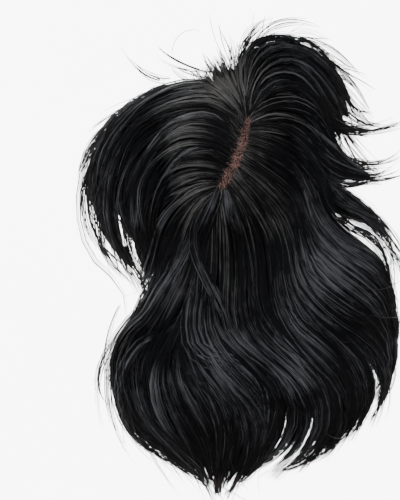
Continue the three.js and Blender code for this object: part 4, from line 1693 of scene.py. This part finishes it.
# %% The stitches of the ribbon
def stitch_tree():
    inputs = [
        ("Lines", "NodeSocketGeometry", None),
        ("Pitch", "NodeSocketFloat", 0.0026),
        ("Length", "NodeSocketFloat", 0.001),
        ("Thickness", "NodeSocketFloat", 0.0002),
        ("Seed", "NodeSocketInt", 3),
        ("Finish", "NodeSocketMaterial", None),
    ]
    tree, given = new_tree("set stitches", inputs, "Stitches")
    lines = add(tree, "GeometryNodeMeshToCurve", {"Mesh": given["Lines"]}).outputs[0]
    pitch = {"Curve": lines, "Length": given["Pitch"]}
    spots = add(tree, "GeometryNodeCurveToPoints", pitch, mode="LENGTH").outputs
    ball = add(tree, "GeometryNodeMeshIcoSphere", BALL).outputs["Mesh"]
    which = add(tree, "GeometryNodeInputIndex").outputs[0]
    long = times(tree, given["Length"], chance(tree, given["Seed"], 0.85, 1.1, 1, which))
    size = combined(tree, given["Thickness"], given["Thickness"], long)
    set_in = {"Points": spots["Points"], "Instance": ball, "Rotation": spots["Rotation"], "Scale": size}
    stitches = add(tree, "GeometryNodeInstanceOnPoints", set_in).outputs[0]
    close_tree(tree, stitches, given["Finish"])
    return tree


def stitch_lines():
    points = np.vstack([[ring[corner] for ring in RINGS] for corner in STITCHED_CORNERS])
    count = len(RINGS)
    edges = [(row * count + i, row * count + (i + 1) % count) for row in (0, 1) for i in range(count)]
    return link_up("stitch lines", mesh_of("stitch lines", points, edges, []))


stitch_values = {"Pitch": 2.6 * MM, "Length": 1.0 * MM, "Thickness": 0.2 * MM, "Seed": 3}
stitch_values["Finish"] = RIBBON_FINISH
stitches = grow("ribbon_stitches", stitch_lines(), stitch_tree(), stitch_values)
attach(stitches, "root")

# %% [markdown]
# The table is so pale that it shines by itself, which keeps the thin shadows of the strands
# soft. Two broad lamps, a shade cooler than white, and a dim room light the hair from above.

# %% The table, the lights and the camera
COOL_WHITE = (0.975, 0.99, 1.03)
TABLE_SIZE = 6
TABLE_GLOW = 7.5
ROOM_COLOUR = (0.97, 0.98, 1.0, 1)
ROOM_STRENGTH = 0.12


def area_light(name, place, aim, size, power):
    data = bpy.data.lights.new(name, "AREA")
    data.shape = "DISK"
    data.size = size
    data.energy = power
    data.color = COOL_WHITE
    light = link_up(name, data)
    light.location = place
    light.rotation_euler = (Vector(aim) - Vector(place)).to_track_quat("-Z", "Y").to_euler()


def table_material():
    material, tree, shader = new_material("pale table", Emission_Strength=TABLE_GLOW)
    place = object_place(tree)
    cloud = noise(tree, place, 7.0, 5.0)
    grain = noise(tree, place, 600.0, 3.0)
    for socket, low in (("Base Color", 0.86), ("Emission Color", 0.95)):
        shade = ranged(tree, cloud, wanted=(low, low + 0.06))
        fill(tree, shader.inputs[socket], scaled(tree, (1.0, 1.0, 1.0), shade))
    fill(tree, shader.inputs["Roughness"], ranged(tree, grain, wanted=(0.7, 0.9)))
    fill(tree, shader.inputs["Normal"], raised(tree, grain, 0.2, 0.2 * MM))
    return material


bpy.ops.mesh.primitive_plane_add(size=TABLE_SIZE, location=(0, 0, 0))
floor = bpy.context.object
floor.name = "table"
floor.data.materials.append(table_material())

middle = (0.0, 0.0, 0.0)
area_light("soft key", (-0.8, 0.7, 2.4), middle, size=1.1, power=75)
area_light("soft fill", (1.4, -1.0, 2.2), middle, size=1.6, power=14)
world = bpy.data.worlds.new("pale room")
world.use_nodes = True
background = world.node_tree.nodes["Background"]
background.inputs["Color"].default_value = ROOM_COLOUR
background.inputs["Strength"].default_value = ROOM_STRENGTH
bpy.context.scene.world = world

VIEW_CENTRE = Vector((-46 * MM, 12.6 * MM, 12 * MM))
VIEW_HEIGHT = 500 * MM
VIEW_DISTANCE = 2.0
VIEW_ELEVATION = math.radians(85)
camera_data = bpy.data.cameras.new("camera")
camera_data.sensor_fit = "VERTICAL"
camera_data.sensor_height = 24
camera_data.lens = camera_data.sensor_height * VIEW_DISTANCE / VIEW_HEIGHT
camera = link_up("camera", camera_data)
away = Vector((0, -math.cos(VIEW_ELEVATION), math.sin(VIEW_ELEVATION)))
camera.location = VIEW_CENTRE + away * VIEW_DISTANCE
camera.rotation_euler = (-away).to_track_quat("-Z", "Y").to_euler()
bpy.context.scene.camera = camera
